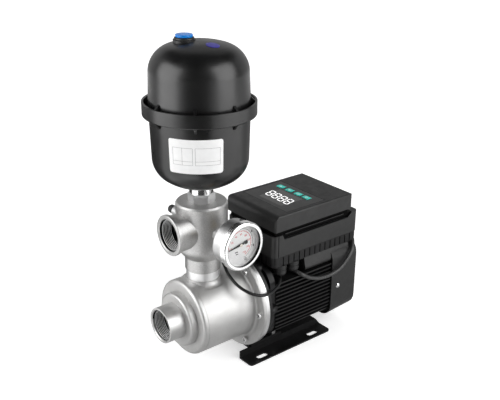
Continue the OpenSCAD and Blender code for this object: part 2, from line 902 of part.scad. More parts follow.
module drive_housing() {
    color("black") difference() {
        union() {
            translate([0, 0, housing_z]) drive_outline(housing_h, 0.5);
            slab(drive_x + 4, drive_x + lid_l - 4, drive_w - 4.6, rim_z - 1, lid_z);
        }
        slab(drive_x + 8, drive_x + lid_l - 8, drive_w - 12.8, housing_z - 1, lid_z + 1);
        // Long recess in the top of the front wall, with a rail inside
        translate([0, -drive_w / 2 + 2.2, 0]) rotate([90, 0, 0]) linear_extrude(height = 10)
            polygon([
                [recess_x[0] - 4, rim_z + 1],
                [recess_x[0], rim_z - 7.5],
                [recess_x[1] - 5, rim_z - 7.5],
                [recess_x[1] + 4, rim_z + 1]]);
        translate([recess_x[0] + 3, -drive_w / 2 - 1, rim_z - 7.5])
            cube([recess_x[1] - recess_x[0] - 9, 5.2, 2.6]);
        // Grooves beside the corner columns
        for (side = [-1, 1]) translate([drive_x + 8, side * (drive_w / 2 + 0.5), housing_z - 1])
            cylinder(r = 1.1, h = housing_h + 2);
    }
}

module lid_outline(shrink, top) {
    w = lid_w - 2 * shrink;
    l = lid_l - 2 * shrink;
    intersection() {
        translate([drive_x + shrink, w / 2, lid_z]) rotate([90, 0, 0])
            linear_extrude(height = w) {
                square([l, top - 10]);
                translate([10, 0]) square([l - 12.5, top]);
                translate([10, top - 10]) circle(10);
                translate([l - 5, 0]) square([5, top - 2.5]);
                translate([l - 2.5, top - 2.5]) circle(2.5);
            }
        translate([drive_x, 0, lid_z]) rotate([90, 0, 90]) linear_extrude(height = lid_l) {
            translate([-w / 2, 0]) square([w, top - 2.5]);
            translate([-w / 2 + 2.5, 0]) square([w - 5, top]);
            for (side = [-1, 1]) translate([side * (w / 2 - 2.5), top - 2.5]) circle(2.5);
        }
        translate([drive_x + lid_l / 2, 0, lid_z - 1]) linear_extrude(height = top + 2)
            rounded(l, w, 3);
    }
}

module drive_lid() {
    color("black") difference() {
        union() {
            difference() {
                lid_outline(0, lid_h);
                difference() {
                    translate([0, 0, -eps]) lid_outline(lid_wall, lid_h - lid_roof);
                    difference() {
                        slab(drive_x, drive_x + lid_l, lid_w, lid_z - 1, lid_z + 2.5);
                        slab(drive_x + 8, drive_x + lid_l - 8, drive_w - 12.8, lid_z - 2, lid_z + 3);
                    }
                }
            }
            for (x = board_post_x, y = [-1, 1])
                translate([x, y * board_post_y, lid_top - board_drop])
                    cylinder(r = post_r, h = board_drop - 1);
        }
        slab(panel_x[0], panel_x[1], panel_w, lid_top - panel_t - 0.1, lid_top + 1);
        translate([window_x[0], window_y[0], lid_top - 8])
            cube([window_x[1] - window_x[0], window_y[1] - window_y[0], 10]);
        for (y = button_y) translate([button_x - button_l / 2 - gap, y - button_w / 2 - gap, lid_top - 8])
            cube([button_l + 2 * gap, button_w + 2 * gap, 10]);
    }
}

module keypad_panel() {
    color("black") difference() {
        slab(panel_x[0] + 0.4, panel_x[1] - 0.4, panel_w - 0.8, lid_top - panel_t - 0.1, lid_top - 0.1);
        translate([window_x[0], window_y[0], lid_top - 8])
            cube([window_x[1] - window_x[0], window_y[1] - window_y[0], 10]);
        for (y = button_y) translate([button_x - button_l / 2 - gap, y - button_w / 2 - gap, lid_top - 8])
            cube([button_l + 2 * gap, button_w + 2 * gap, 10]);
    }
}

module display_window() {
    color("black")
        translate([window_x[0], window_y[0], lid_top - lid_roof])
            cube([window_x[1] - window_x[0], window_y[1] - window_y[0], lid_roof - 0.1]);
}

// One key: a cap in the lid, a wider collar under the lid and a stem over its switch
module key(y) {
    color("turquoise") translate([button_x, y, 0]) {
        translate([-button_l / 2, -button_w / 2, lid_top - lid_roof - 1])
            cube([button_l, button_w, lid_roof + 1 + button_up]);
        translate([-button_l / 2 - 0.9, -button_w / 2 - 0.9, lid_top - lid_roof - 1.2])
            cube([button_l + 1.8, button_w + 1.8, 1]);
        translate([0, 0, lid_top - button_down]) cylinder(r = 2, h = button_down - lid_roof - 1);
    }
}

module button_1() { key(button_y[0]); }
module button_2() { key(button_y[1]); }
module button_3() { key(button_y[2]); }
module button_4() { key(button_y[3]); }

module control_board() {
    color("green") {
        slab(board_post_x[0] - 5, board_post_x[1] + 5, 2 * board_post_y + 9,
            lid_top - board_drop - board_t, lid_top - board_drop);
        translate([window_x[0] + 1, window_y[0] + 1, lid_top - board_drop - eps])
            cube([window_x[1] - window_x[0] - 2, window_y[1] - window_y[0] - 2,
                board_drop - lid_roof + eps]);
        for (y = button_y) translate([button_x - 3, y - 3, lid_top - board_drop - eps])
            cube([6, 6, 1.6]);
    }
}

module power_board() {
    color("green") translate([0, 0, housing_z + 9]) {
        slab(power_post_x[0] - 4, power_post_x[1] + 4, 2 * power_post_y + 8, 0, board_t);
        for (x = [10, 36, 62]) translate([x, 14, 1]) cylinder(r = 11, h = 20);
        translate([60, -30, 1]) cube([30, 22, 14]);
        translate([0, -30, 1]) cube([40, 18, 10]);
    }
}

module cable_glands() {
    color("black") for (x = gland_x) translate([x, gland_y, drive_z - gland_h])
        rotate_extrude() difference() {
            round_foot(gland_r, gland_h, 6);
            translate([gland_r - 0.7, gland_h - 7.2]) square([1, 0.9]);
        }
}

// Cables

function unit(v) = v / norm(v);
function ease(a, b, c, d, t) =
    b + (c - a) * t / 2 + (a * 2 - b * 5 + c * 4 - d) * t * t / 2
    + (b * 3 - c * 3 + d - a) * t * t * t / 2;
function clampi(i, n) = i < 0 ? 0 : i > n ? n : i;
function smooth(p, steps) = [
    for (i = [0 : len(p) - 2], k = [0 : steps - 1])
        ease(p[clampi(i - 1, len(p) - 1)], p[i], p[i + 1], p[clampi(i + 2, len(p) - 1)], k / steps),
    p[len(p) - 1]];
function slopes(q, first, last) = [
    for (i = [0 : len(q) - 1])
        i == 0 ? first : i == len(q) - 1 ? last : unit(q[i + 1] - q[i - 1])];
function carried(t, i, done) =
    i == len(t) ? done
    : carried(t, i + 1, concat(done, [unit(
        i == 0 ? cross(t[0], [0.3, 0.9, 0.2]) : done[i - 1] - (done[i - 1] * t[i]) * t[i])]));

// Round tube along a smooth line through the given points
module tube_along(points, d, first, last) {
    sides = cable_sides;
    q = smooth(points, cable_steps);
    t = slopes(q, unit(first), unit(last));
    u = carried(t, 0, []);
    rings = len(q);
    verts = [for (i = [0 : rings - 1], j = [0 : sides - 1])
        q[i] + d / 2 * (cos(j * 360 / sides) * u[i] + sin(j * 360 / sides) * cross(t[i], u[i]))];
    sides_f = [for (i = [0 : rings - 2], j = [0 : sides - 1], h = [0, 1])
        let (a = i * sides + j, b = i * sides + (j + 1) % sides, c = b + sides, e = a + sides)
            h == 0 ? [a, e, c] : [a, c, b]];
    caps = [[for (j = [0 : sides - 1]) j],
        [for (j = [0 : sides - 1]) rings * sides - 1 - j]];
    polyhedron(points = verts, faces = concat(sides_f, caps), convexity = 6);
}

module sensor_cable() {
    color("black")
        tube_along(sensor_route, sensor_cable_d, [0, -0.1, -1], [-1, 0, 0]);
}

module motor_cable() {
    color("black") tube_along(motor_route, motor_cable_d, [0.2, -0.2, -1], [0, 0, 1]);
}

// Riser and five-way fitting

module discharge_nipple() {
    color("silver") translate([riser_x, 0, 0]) rotate_extrude() difference() {
        union() {
            translate([0, collar_z]) square([riser_r, neck_z - collar_z]);
            translate([0, neck_z - 1]) square([neck_bore - 0.2, 17]);
        }
        translate([0, collar_z - 1]) square([riser_bore, 40]);
        translate([riser_r - 0.6, neck_z - 0.9]) square([1, 0.9 + eps]);
        translate([riser_r - 0.5, collar_z - eps]) square([1, 0.7]);
    }
}

module five_way_fitting() {
    color("silver") difference() {
        union() {
            translate([riser_x, 0, 0]) rotate_extrude() polygon([
                [0, neck_z],
                [neck_r - 0.6, neck_z],
                [neck_r, neck_z + 0.6],
                [neck_r, taper_z],
                [neck_r + 0.8, taper_z + 0.4],
                [fitting_r - 3, shoulder_z - 3],
                [fitting_r - 0.8, shoulder_z + 0.5],
                [fitting_r, shoulder_z + 4],
                [fitting_r, fitting_top - 2.4],
                [fitting_r - 2, fitting_top],
                [0, fitting_top]]);
            translate([mouth_x, 0, discharge_z]) rotate([0, 90, 0]) {
                cylinder(r = port_r, h = riser_x - mouth_x);
                rotate_extrude() intersection() {
                    round_foot(bead_r, bead_l, 1.6);
                    translate([0, bead_l]) mirror([0, 1]) round_foot(bead_r, bead_l, 1);
                }
            }
            gauge_side(fitting_r - 6) cylinder(r = boss_r, h = 11);
            backward(riser_x, fitting_r - 6, sensor_z) cylinder(r = boss_r, h = 11);
        }
        translate([riser_x, 0, 0]) rotate_extrude() polygon([
            [0, neck_z - 1],
            [neck_bore, neck_z - 1],
            [neck_bore, taper_z + 1],
            [fitting_r - fitting_wall, shoulder_z + 2],
            [fitting_r - fitting_wall, fitting_top - 9],
            [0, fitting_top - 9]]);
        translate([riser_x, 0, fitting_top - 20]) cylinder(r = 10.5, h = 30);
        translate([mouth_x, 0, discharge_z]) rotate([0, 90, 0]) {
            translate([0, 0, -1]) cylinder(r = port_bore_r, h = mouth_chamfer + thread_l + 1);
            translate([0, 0, -eps])
                cylinder(r1 = port_bore_r + mouth_chamfer, r2 = port_bore_r, h = mouth_chamfer);
            cylinder(r = riser_bore + 2, h = riser_x - mouth_x);
        }
        gauge_side(fitting_r / 2) cylinder(r = boss_bore, h = 40);
        backward(riser_x, fitting_r / 2, sensor_z) cylinder(r = boss_bore, h = 40);
    }
}

module tank_nipple() {
    color("gainsboro") translate([riser_x, 0, fitting_top]) difference() {
        union() {
            intersection() {
                rotate(nipple_turn) cylinder(r = nipple_hex, h = nipple_h, $fn = 6);
                rotate_extrude() polygon([
                    [0, 0],
                    [nipple_hex - 1.6, 0],
                    [nipple_hex + 0.2, 1.2],
                    [nipple_hex + 0.2, nipple_h - 1.2],
                    [nipple_hex - 1.6, nipple_h],
                    [0, nipple_h]]);
            }
            translate([0, 0, -9]) cylinder(r = 10.3, h = 10);
            translate([0, 0, nipple_h - 1]) cylinder(r = 9.8, h = 11);
        }
        translate([0, 0, -10]) cylinder(r = 6.5, h = 40);
    }
}

module tank_connection() {
    color("white") translate([riser_x, 0, 0]) difference() {
        union() {
            translate([0, 0, fitting_top + nipple_h]) rotate_extrude() polygon([
                [0, 0],
                [15.2, 0],
                [16.3, 1.2],
                [16.3, 13],
                [0, 13]]);
        }
        translate([0, 0, tank_bottom + low_crown]) sphere(low_crown, $fn = 360);
        translate([0, 0, fitting_top]) cylinder(r = 10, h = 40);
    }
}

// Tank

function arc(centre, r, from, to, steps) = [
    for (i = [0 : steps]) let (a = from + (to - from) * i / steps)
        centre + r * [cos(a), sin(a)]];

// Half section of a dished body: the knuckle line is at z = 0 and the crown hangs below it
module dish(r, crown, knuckle, top_r, l) {
    drop = sqrt(pow(crown - knuckle, 2) - pow(r - knuckle, 2));
    turn = -acos((r - knuckle) / (crown - knuckle));
    low = arc([0, drop], crown, -90, turn, crown_steps);
    side = arc([r - knuckle, 0], knuckle, turn, 0, knuckle_steps);
    polygon(concat([[0, l]], [[0, drop - crown]], [for (i = [1 : crown_steps - 1]) low[i]],
        side, [[top_r, l]]));
}

module gussets(points) {
    for (i = [0 : gusset_count - 1]) rotate(gusset_turn + i * 360 / gusset_count)
        translate([0, gusset_t / 2, 0]) rotate([90, 0, 0])
            linear_extrude(height = gusset_t) polygon(points);
}

module tank_lower_shell() {
    color("black") translate([riser_x, 0, 0]) difference() {
        union() {
            rotate_extrude() {
                translate([0, low_z])
                    dish(low_r, low_crown, low_knuckle, tank_r, tank_lower_l - rubber_t / 2);
                translate([0, seam_z - rubber_t / 2 - rim_t]) square([rim_r, rim_t]);
            }
            gussets([
                [tank_r - 2, seam_z - 18],
                [tank_r - 2, seam_z - rim_t],
                [rim_r, seam_z - rim_t],
                [rim_r, seam_z - 9]]);
        }
        rotate_extrude() translate([0, low_z])
            dish(low_r - tank_wall, low_crown - tank_wall, low_knuckle - tank_wall,
                tank_r - tank_wall, tank_lower_l + 1);
        translate([0, 0, tank_bottom - 1]) cylinder(r = 10.5, h = 20);
    }
}

module tank_upper_shell() {
    color("black") translate([riser_x, 0, 0]) difference() {
        union() {
            rotate_extrude() {
                translate([0, up_z]) mirror([0, 1])
                    dish(up_r, up_crown, up_knuckle, tank_r + 0.2, tank_upper_l - rubber_t / 2);
                translate([0, seam_z + rubber_t / 2]) square([rim_r, rim_t]);
            }
            gussets([
                [tank_r - 2, seam_z + rim_t],
                [rim_r, seam_z + rim_t],
                [rim_r, seam_z + 9.7],
                [tank_r - 2, seam_z + 17]]);
        }
        rotate_extrude() translate([0, up_z]) mirror([0, 1])
            dish(up_r - tank_wall, up_crown - tank_wall, up_knuckle - tank_wall,
                tank_r - tank_wall, tank_upper_l + 1);
        translate([valve_dx, valve_dy, tank_top - 20]) cylinder(r = 4.2, h = 40);
    }
}

module tank_ring() {
    color("black") translate([riser_x, 0, 0]) rotate_extrude() intersection() {
        translate([rim_r + seat_gap, seam_z - 8.3]) square([ring_wall, 18]);
        translate([0, seam_z - 8.3]) round_foot(ring_out, 18, 1.5);
    }
}

module tank_diaphragm() {
    color("dimgray") translate([riser_x, 0, 0]) rotate_extrude() {
        difference() {
            translate([0, seam_z - rubber_t / 2 - 50])
                dish(low_r - 6, low_crown, low_knuckle - 6, low_r - 6, 50 + rubber_t);
            translate([0, seam_z - rubber_t / 2 - 50])
                dish(low_r - 7.5, low_crown - 1.5, low_knuckle - 7.5, low_r - 7.5, 60);
        }
        translate([low_r - 7.5, seam_z - rubber_t / 2]) square([rim_r - low_r + 7.5, rubber_t]);
    }
}

module air_valve() {
    color("black") difference() {
        union() {
            translate([riser_x + valve_dx, valve_dy, tank_top - 6])
                cylinder(r = valve_base_r, h = valve_z - tank_top + 6);
            translate([riser_x + valve_dx, valve_dy, valve_z - 1]) cylinder(r = 4, h = 6);
        }
        translate([riser_x, 0, tank_top - up_crown]) sphere(up_crown + seat_gap, $fn = 360);
    }
}

// Push-on cap over the valve; it lifts off
module valve_cap() {
    color("royalblue") translate([riser_x + valve_dx, valve_dy, valve_z]) rotate_extrude() difference() {
        translate([0, cap_h]) mirror([0, 1]) round_foot(cap_r, cap_h, 1.2);
        translate([0, -1]) square([cap_r - 1.8, cap_h - 1]);
    }
}

// Gauge

module gauge_stem() {
    color("gold") gauge_side(boss_y) {
        hexagon(14, 11);
        cylinder(r = 6.4, h = 22.5);
        translate([0, 0, -14]) cylinder(r = spigot_r, h = 15);
    }
}

module gauge_case() {
    color("silver") gauge_side(gauge_back) difference() {
        rotate_extrude() difference() {
            round_foot(gauge_r, case_d, 3);
            translate([0, case_wall]) round_foot(gauge_r - case_wall, case_d, 3 - case_wall);
            translate([0, -1]) square([6.4, 4]);
        }
        rotate(filler_turn) translate([gauge_r - 4, 0, filler_at]) rotate([0, 90, 0]) cylinder(r = 3, h = 10);
    }
}

module gauge_plug() {
    color("black") gauge_side(gauge_back)
        rotate(filler_turn) translate([gauge_r - 2.2, 0, filler_at]) rotate([0, 90, 0]) {
            cylinder(r = 3, h = 3);
            translate([0, 0, 2.2]) cylinder(r = 4, h = 1.3);
        }
}

module gauge_bezel() {
    color("gainsboro") gauge_side(gauge_back) rotate_extrude() difference() {
        translate([0, case_d - 4]) intersection() {
            translate([bezel_in, 0]) square([bezel_r - bezel_in, 9.2]);
            union() {
                square([bezel_r, 7]);
                square([bezel_r - 2.2, 9.2]);
                translate([bezel_r - 2.2, 7]) circle(2.2);
            }
        }
        translate([0, case_d - 5]) square([gauge_r, 5 + lens_t]);
    }
}

module gauge_lens() {
    color("white", 0.3) gauge_side(gauge_back + case_d)
        cylinder(r = gauge_r, h = lens_t);
}

module gauge_dial() {
    color("white") gauge_side(gauge_back + dial_at)
        pipe(gauge_r - case_wall, 1.4, dial_t);
}

// Needle with a short tail, on a spindle that passes through the dial
module gauge_pointer() {
    color("black") gauge_side(gauge_back + pointer_at) rotate(pointer_droop) {
        linear_extrude(height = pointer_t) polygon([
            [0, 1.2],
            [-gauge_r + 7.5, 0.35],
            [-gauge_r + 7.5, -0.35],
            [0, -1.2],
            [8, -0.8],
            [9.5, -2.3],
            [12.5, -2.3],
            [12.5, 2.3],
            [9.5, 2.3],
            [8, 0.8]]);
        cylinder(r = 2.6, h = pointer_t + 1);
        translate([0, 0, -6]) cylinder(r = 1, h = 6 + eps);
    }
}

// Sensor

module pressure_sensor() {
    color("gainsboro") backward(riser_x, boss_y, sensor_z) {
        hexagon(17, 7);
        cylinder(r = sensor_r, h = sensor_l);
        translate([0, 0, -14]) cylinder(r = spigot_r, h = 15);
    }
}

module sensor_plug() {
    color("black") {
        backward(riser_x, boss_y + sensor_l + plug_l, sensor_z) mirror([0, 0, 1]) rotate_extrude()
            round_foot(plug_r, plug_l, 2.5);
        translate([riser_x, plug_y, sensor_z]) rotate([0, 90, 0])
            cylinder(r = plug_side_r, h = plug_side);
    }
}

base_plate();
motor_bracket();
foot_bolts();
pump_casing();
suction_port();
casing_back_plate();
casing_o_ring();
flange_bolts();
stage_chambers();
impellers();
impeller_nut();
shaft();
seal_seat();
seal_head();
bearing_outer_rings();
bearing_inner_rings();
bearing_balls();
rotor_core();
stator_core();
stator_winding();
motor_housing();
rear_end_shield();
housing_bolts();
fan();
fan_cover();
fan_cover_screws();
drive_saddle();
drive_base();
drive_housing();
drive_lid();
keypad_panel();
display_window();
button_1();
button_2();
button_3();
button_4();
control_board();
power_board();
cable_glands();
sensor_cable();
motor_cable();
discharge_nipple();
five_way_fitting();
tank_nipple();
tank_connection();
tank_lower_shell();
tank_upper_shell();
tank_ring();
tank_diaphragm();
air_valve();
valve_cap();
gauge_stem();
gauge_case();
gauge_plug();
gauge_bezel();
gauge_lens();
gauge_dial();
gauge_pointer();
pressure_sensor();
sensor_plug();
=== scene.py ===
import json
import math
import bpy
import bmesh
from mathutils import Matrix, Vector


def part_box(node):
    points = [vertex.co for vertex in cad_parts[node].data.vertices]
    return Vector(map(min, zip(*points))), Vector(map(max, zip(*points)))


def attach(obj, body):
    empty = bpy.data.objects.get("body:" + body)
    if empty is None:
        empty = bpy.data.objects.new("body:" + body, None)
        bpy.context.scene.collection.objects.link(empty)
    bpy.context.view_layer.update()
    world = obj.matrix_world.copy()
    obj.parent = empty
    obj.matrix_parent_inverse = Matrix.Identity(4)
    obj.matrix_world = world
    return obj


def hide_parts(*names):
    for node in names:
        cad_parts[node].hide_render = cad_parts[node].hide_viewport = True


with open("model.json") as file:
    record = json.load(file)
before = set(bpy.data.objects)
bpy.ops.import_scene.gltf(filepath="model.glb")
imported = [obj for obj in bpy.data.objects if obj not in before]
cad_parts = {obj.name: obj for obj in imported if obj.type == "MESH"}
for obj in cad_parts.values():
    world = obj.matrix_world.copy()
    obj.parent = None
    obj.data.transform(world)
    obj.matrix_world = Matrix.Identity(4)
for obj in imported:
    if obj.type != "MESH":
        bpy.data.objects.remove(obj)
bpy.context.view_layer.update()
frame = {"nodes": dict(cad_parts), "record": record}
scene = bpy.context.scene
record = frame["record"]

# Places are in metres, from the record where it states them. X runs along the pump's axis, away
# from the suction port, and -Y is the side with the gauge.
MM = 0.001
ALONG = Vector((1, 0, 0))
FRONT = Vector((0, -1, 0))
UP = Vector((0, 0, 1))
MOUNTS = {mount["name"]: mount["pos_m"] for mount in record["mounts"]}
JOINTS = {joint["name"]: joint.get("pos_m") for joint in record["behaviour"]["joints"]}
AXIS_Z = MOUNTS["suction_port"][2]
PORT_Z = MOUNTS["discharge_port"][2]
RISER_X = -0.1245

# The gauge is turned a little about the riser, as the CAD is
GAUGE_Z = JOINTS["pointer_turn"][2]
GAUGE_TURN = math.radians(3)
GAUGE_OUT = Vector((math.sin(GAUGE_TURN), -math.cos(GAUGE_TURN), 0))
GAUGE_RIGHT = Vector((math.cos(GAUGE_TURN), math.sin(GAUGE_TURN), 0))


def on_gauge(distance):
    """Point on the gauge's axis, at a distance from the riser's."""
    return Vector((RISER_X, 0, GAUGE_Z)) + GAUGE_OUT * distance


# Camera, solved from the photograph's straight edges and circles
EYE = Vector((-0.6930, -0.8074, 0.6669))
AIM = Vector((-0.0331, 0.0, 0.200))
ROLL = math.radians(0.53)
FOCAL_PIXELS = 781.15
PHOTO_WIDTH = 500
SENSOR = 36
SHIFT = (-0.0064, 0.0459)


def make_camera():
    forward = (AIM - EYE).normalized()
    right = forward.cross(UP).normalized()
    up = right.cross(forward)
    right = right * math.cos(ROLL) + up * math.sin(ROLL)
    up = right.cross(forward)
    data = bpy.data.cameras.new("camera")
    data.sensor_width = SENSOR
    data.lens = FOCAL_PIXELS / PHOTO_WIDTH * SENSOR
    data.shift_x, data.shift_y = SHIFT
    data.clip_start, data.clip_end = 0.01, 50
    camera = bpy.data.objects.new("camera", data)
    scene.collection.objects.link(camera)
    turn = Matrix((right, up, -forward)).transposed().to_4x4()
    camera.matrix_world = Matrix.Translation(EYE) @ turn
    scene.camera = camera


make_camera()


# Mesh helpers
def new_piece(name, verts, faces, smooth=False):
    mesh = bpy.data.meshes.new(name)
    mesh.from_pydata([tuple(v) for v in verts], [], [tuple(f) for f in faces])
    mesh.validate()
    work = bmesh.new()
    work.from_mesh(mesh)
    bmesh.ops.recalc_face_normals(work, faces=work.faces)
    work.to_mesh(mesh)
    work.free()
    if smooth:
        mesh.shade_smooth()
    piece = bpy.data.objects.new(name, mesh)
    scene.collection.objects.link(piece)
    return piece


def dress(piece, material):
    piece.data.materials.clear()
    piece.data.materials.append(material)


def settle(piece, body, slot, material):
    """Puts a piece on its body and dresses it. No material means the slot's own."""
    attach(piece, body)
    dress(piece, material or MATERIALS[slot])
    return piece


def polar(radius, degrees):
    a = math.radians(degrees)
    return radius * math.cos(a), radius * math.sin(a)


def compass(azimuth, radius, z):
    """Azimuth 0 is -Y and 90 is +X."""
    a = math.radians(azimuth)
    return (radius * math.sin(a), -radius * math.cos(a), z)


def ring(centre, side, other, radius, sides):
    turn = [2 * math.pi * j / sides for j in range(sides)]
    return [centre + (side * math.cos(a) + other * math.sin(a)) * radius for a in turn]


def steps(start, end, count):
    """Even steps from start to end, with both."""
    return [start + (end - start) * k / count for k in range(count + 1)]


def curve_points(points, count):
    """A smooth line through the points: uniform Catmull-Rom, as the CAD tube is swept."""
    line = []
    last = len(points) - 1
    for i in range(last):
        a, b, c, d = (points[min(max(i + k, 0), last)] for k in (-1, 0, 1, 2))
        for k in range(count):
            t = k / count
            line.append(b + (c - a) * t / 2 + (a * 2 - b * 5 + c * 4 - d) * t * t / 2
                        + (b * 3 - c * 3 + d - a) * t ** 3 / 2)
    line.append(points[last])
    return line


def tube(name, line, radius):
    """Closed round tube along a line, carried along without twist."""
    sides = 20
    slopes = [(b - a).normalized() for a, b in zip(line[:1] + line[:-1], line[1:] + line[-1:])]
    side = slopes[0].orthogonal().normalized()
    verts = []
    for point, slope in zip(line, slopes):
        side = (side - slope * side.dot(slope)).normalized()
        verts += ring(point, side, slope.cross(side), radius, sides)
    faces = []
    for first in range(0, len(verts) - sides, sides):
        for j in range(sides):
            k = (j + 1) % sides
            faces.append((first + j, first + k, first + sides + k, first + sides + j))
    faces.append(tuple(range(sides - 1, -1, -1)))
    faces.append(tuple(range(len(verts) - sides, len(verts))))
    return new_piece(name, verts, faces, smooth=True)


def lathe(name, profile, centre, axis, sides, body, slot, material=None):
    """Turned piece: profile is (radius, height) pairs in millimetres, and closes on itself or at
    both ends on the axis."""
    side = axis.orthogonal().normalized()
    other = axis.cross(side)
    verts, rings = [], []
    for radius, high in profile:
        point = centre + axis * high * MM
        made = ring(point, side, other, radius * MM, sides) if radius else [point]
        rings.append(range(len(verts), len(verts) + len(made)))
        verts += made
    faces = []
    for low, high in zip(rings, rings[1:]):
        for j in range(sides):
            k = (j + 1) % sides
            if len(low) == 1:
                faces.append((low[0], high[j], high[k]))
            elif len(high) == 1:
                faces.append((low[j], low[k], high[0]))
            else:
                faces.append((low[j], low[k], high[k], high[j]))
    piece = new_piece(name, verts, faces, smooth=True)
    piece.data.set_sharp_from_angle(angle=math.radians(35))
    return settle(piece, body, slot, material)


def plate(name, outlines, plane, depth, body, slot, material=None):
    """Thin plates in a plane. outlines: lists of (u, v) in millimetres, each one closed shape.
    plane: its zero, its directions to the right and up, and its outward one."""
    origin, across, up, out = plane
    verts, faces = [], []
    for outline in outlines:
        first, n = len(verts), len(outline)
        for high in (0.0, depth):
            verts += [origin + (across * u + up * v) * MM + out * high for u, v in outline]
        faces.append(tuple(first + i for i in reversed(range(n))))
        faces.append(tuple(first + n + i for i in range(n)))
        for i in range(n):
            k = (i + 1) % n
            faces.append((first + i, first + k, first + n + k, first + n + i))
    return settle(new_piece(name, verts, faces), body, slot, material)


def bar(a, b, width):
    """Rectangle round the line from a to b."""
    dx, dy = b[0] - a[0], b[1] - a[1]
    size = math.hypot(dx, dy)
    nx, ny = -dy / size * width / 2, dx / size * width / 2
    return [(a[0] + nx, a[1] + ny), (a[0] - nx, a[1] - ny),
            (b[0] - nx, b[1] - ny), (b[0] + nx, b[1] + ny)]


def arc_band(r_in, r_out, start, end):
    """Short four-sided pieces side by side, so that each outline stays convex."""
    turn = steps(start, end, max(1, int(abs(end - start) / 3)))
    return [[polar(r_in, a), polar(r_out, a), polar(r_out, b), polar(r_in, b)]
            for a, b in zip(turn, turn[1:])]


# Materials. The first line holds a colour mix node's sockets by number, because its sockets for
# other kinds of data have the same names.
MIX_FACTOR, MIX_A, MIX_B, MIX_RESULT = 0, 6, 7, 2
# Steel within this distance of a port's axis is the port's inside, which gets painted shade
PORT_WALL = 22.6 * MM
# Dark grey of the painted shade inside the ports
PORT_SHADE = 0.03
# Gauge metal further than this from the riser's axis looks in at the dial and gets painted shade
GAUGE_FRONT = 62 * MM
# Rim of the drive housing, its neck's side and its long recess under the lid; painted shade lies
# within
HOUSING_RIM = 196.7 * MM
NECK_SIDE = 52.6 * MM
RECESS_DEPTH = 7.4 * MM
RECESS_MID = 47.5 * MM
RECESS_HALF = 71 * MM


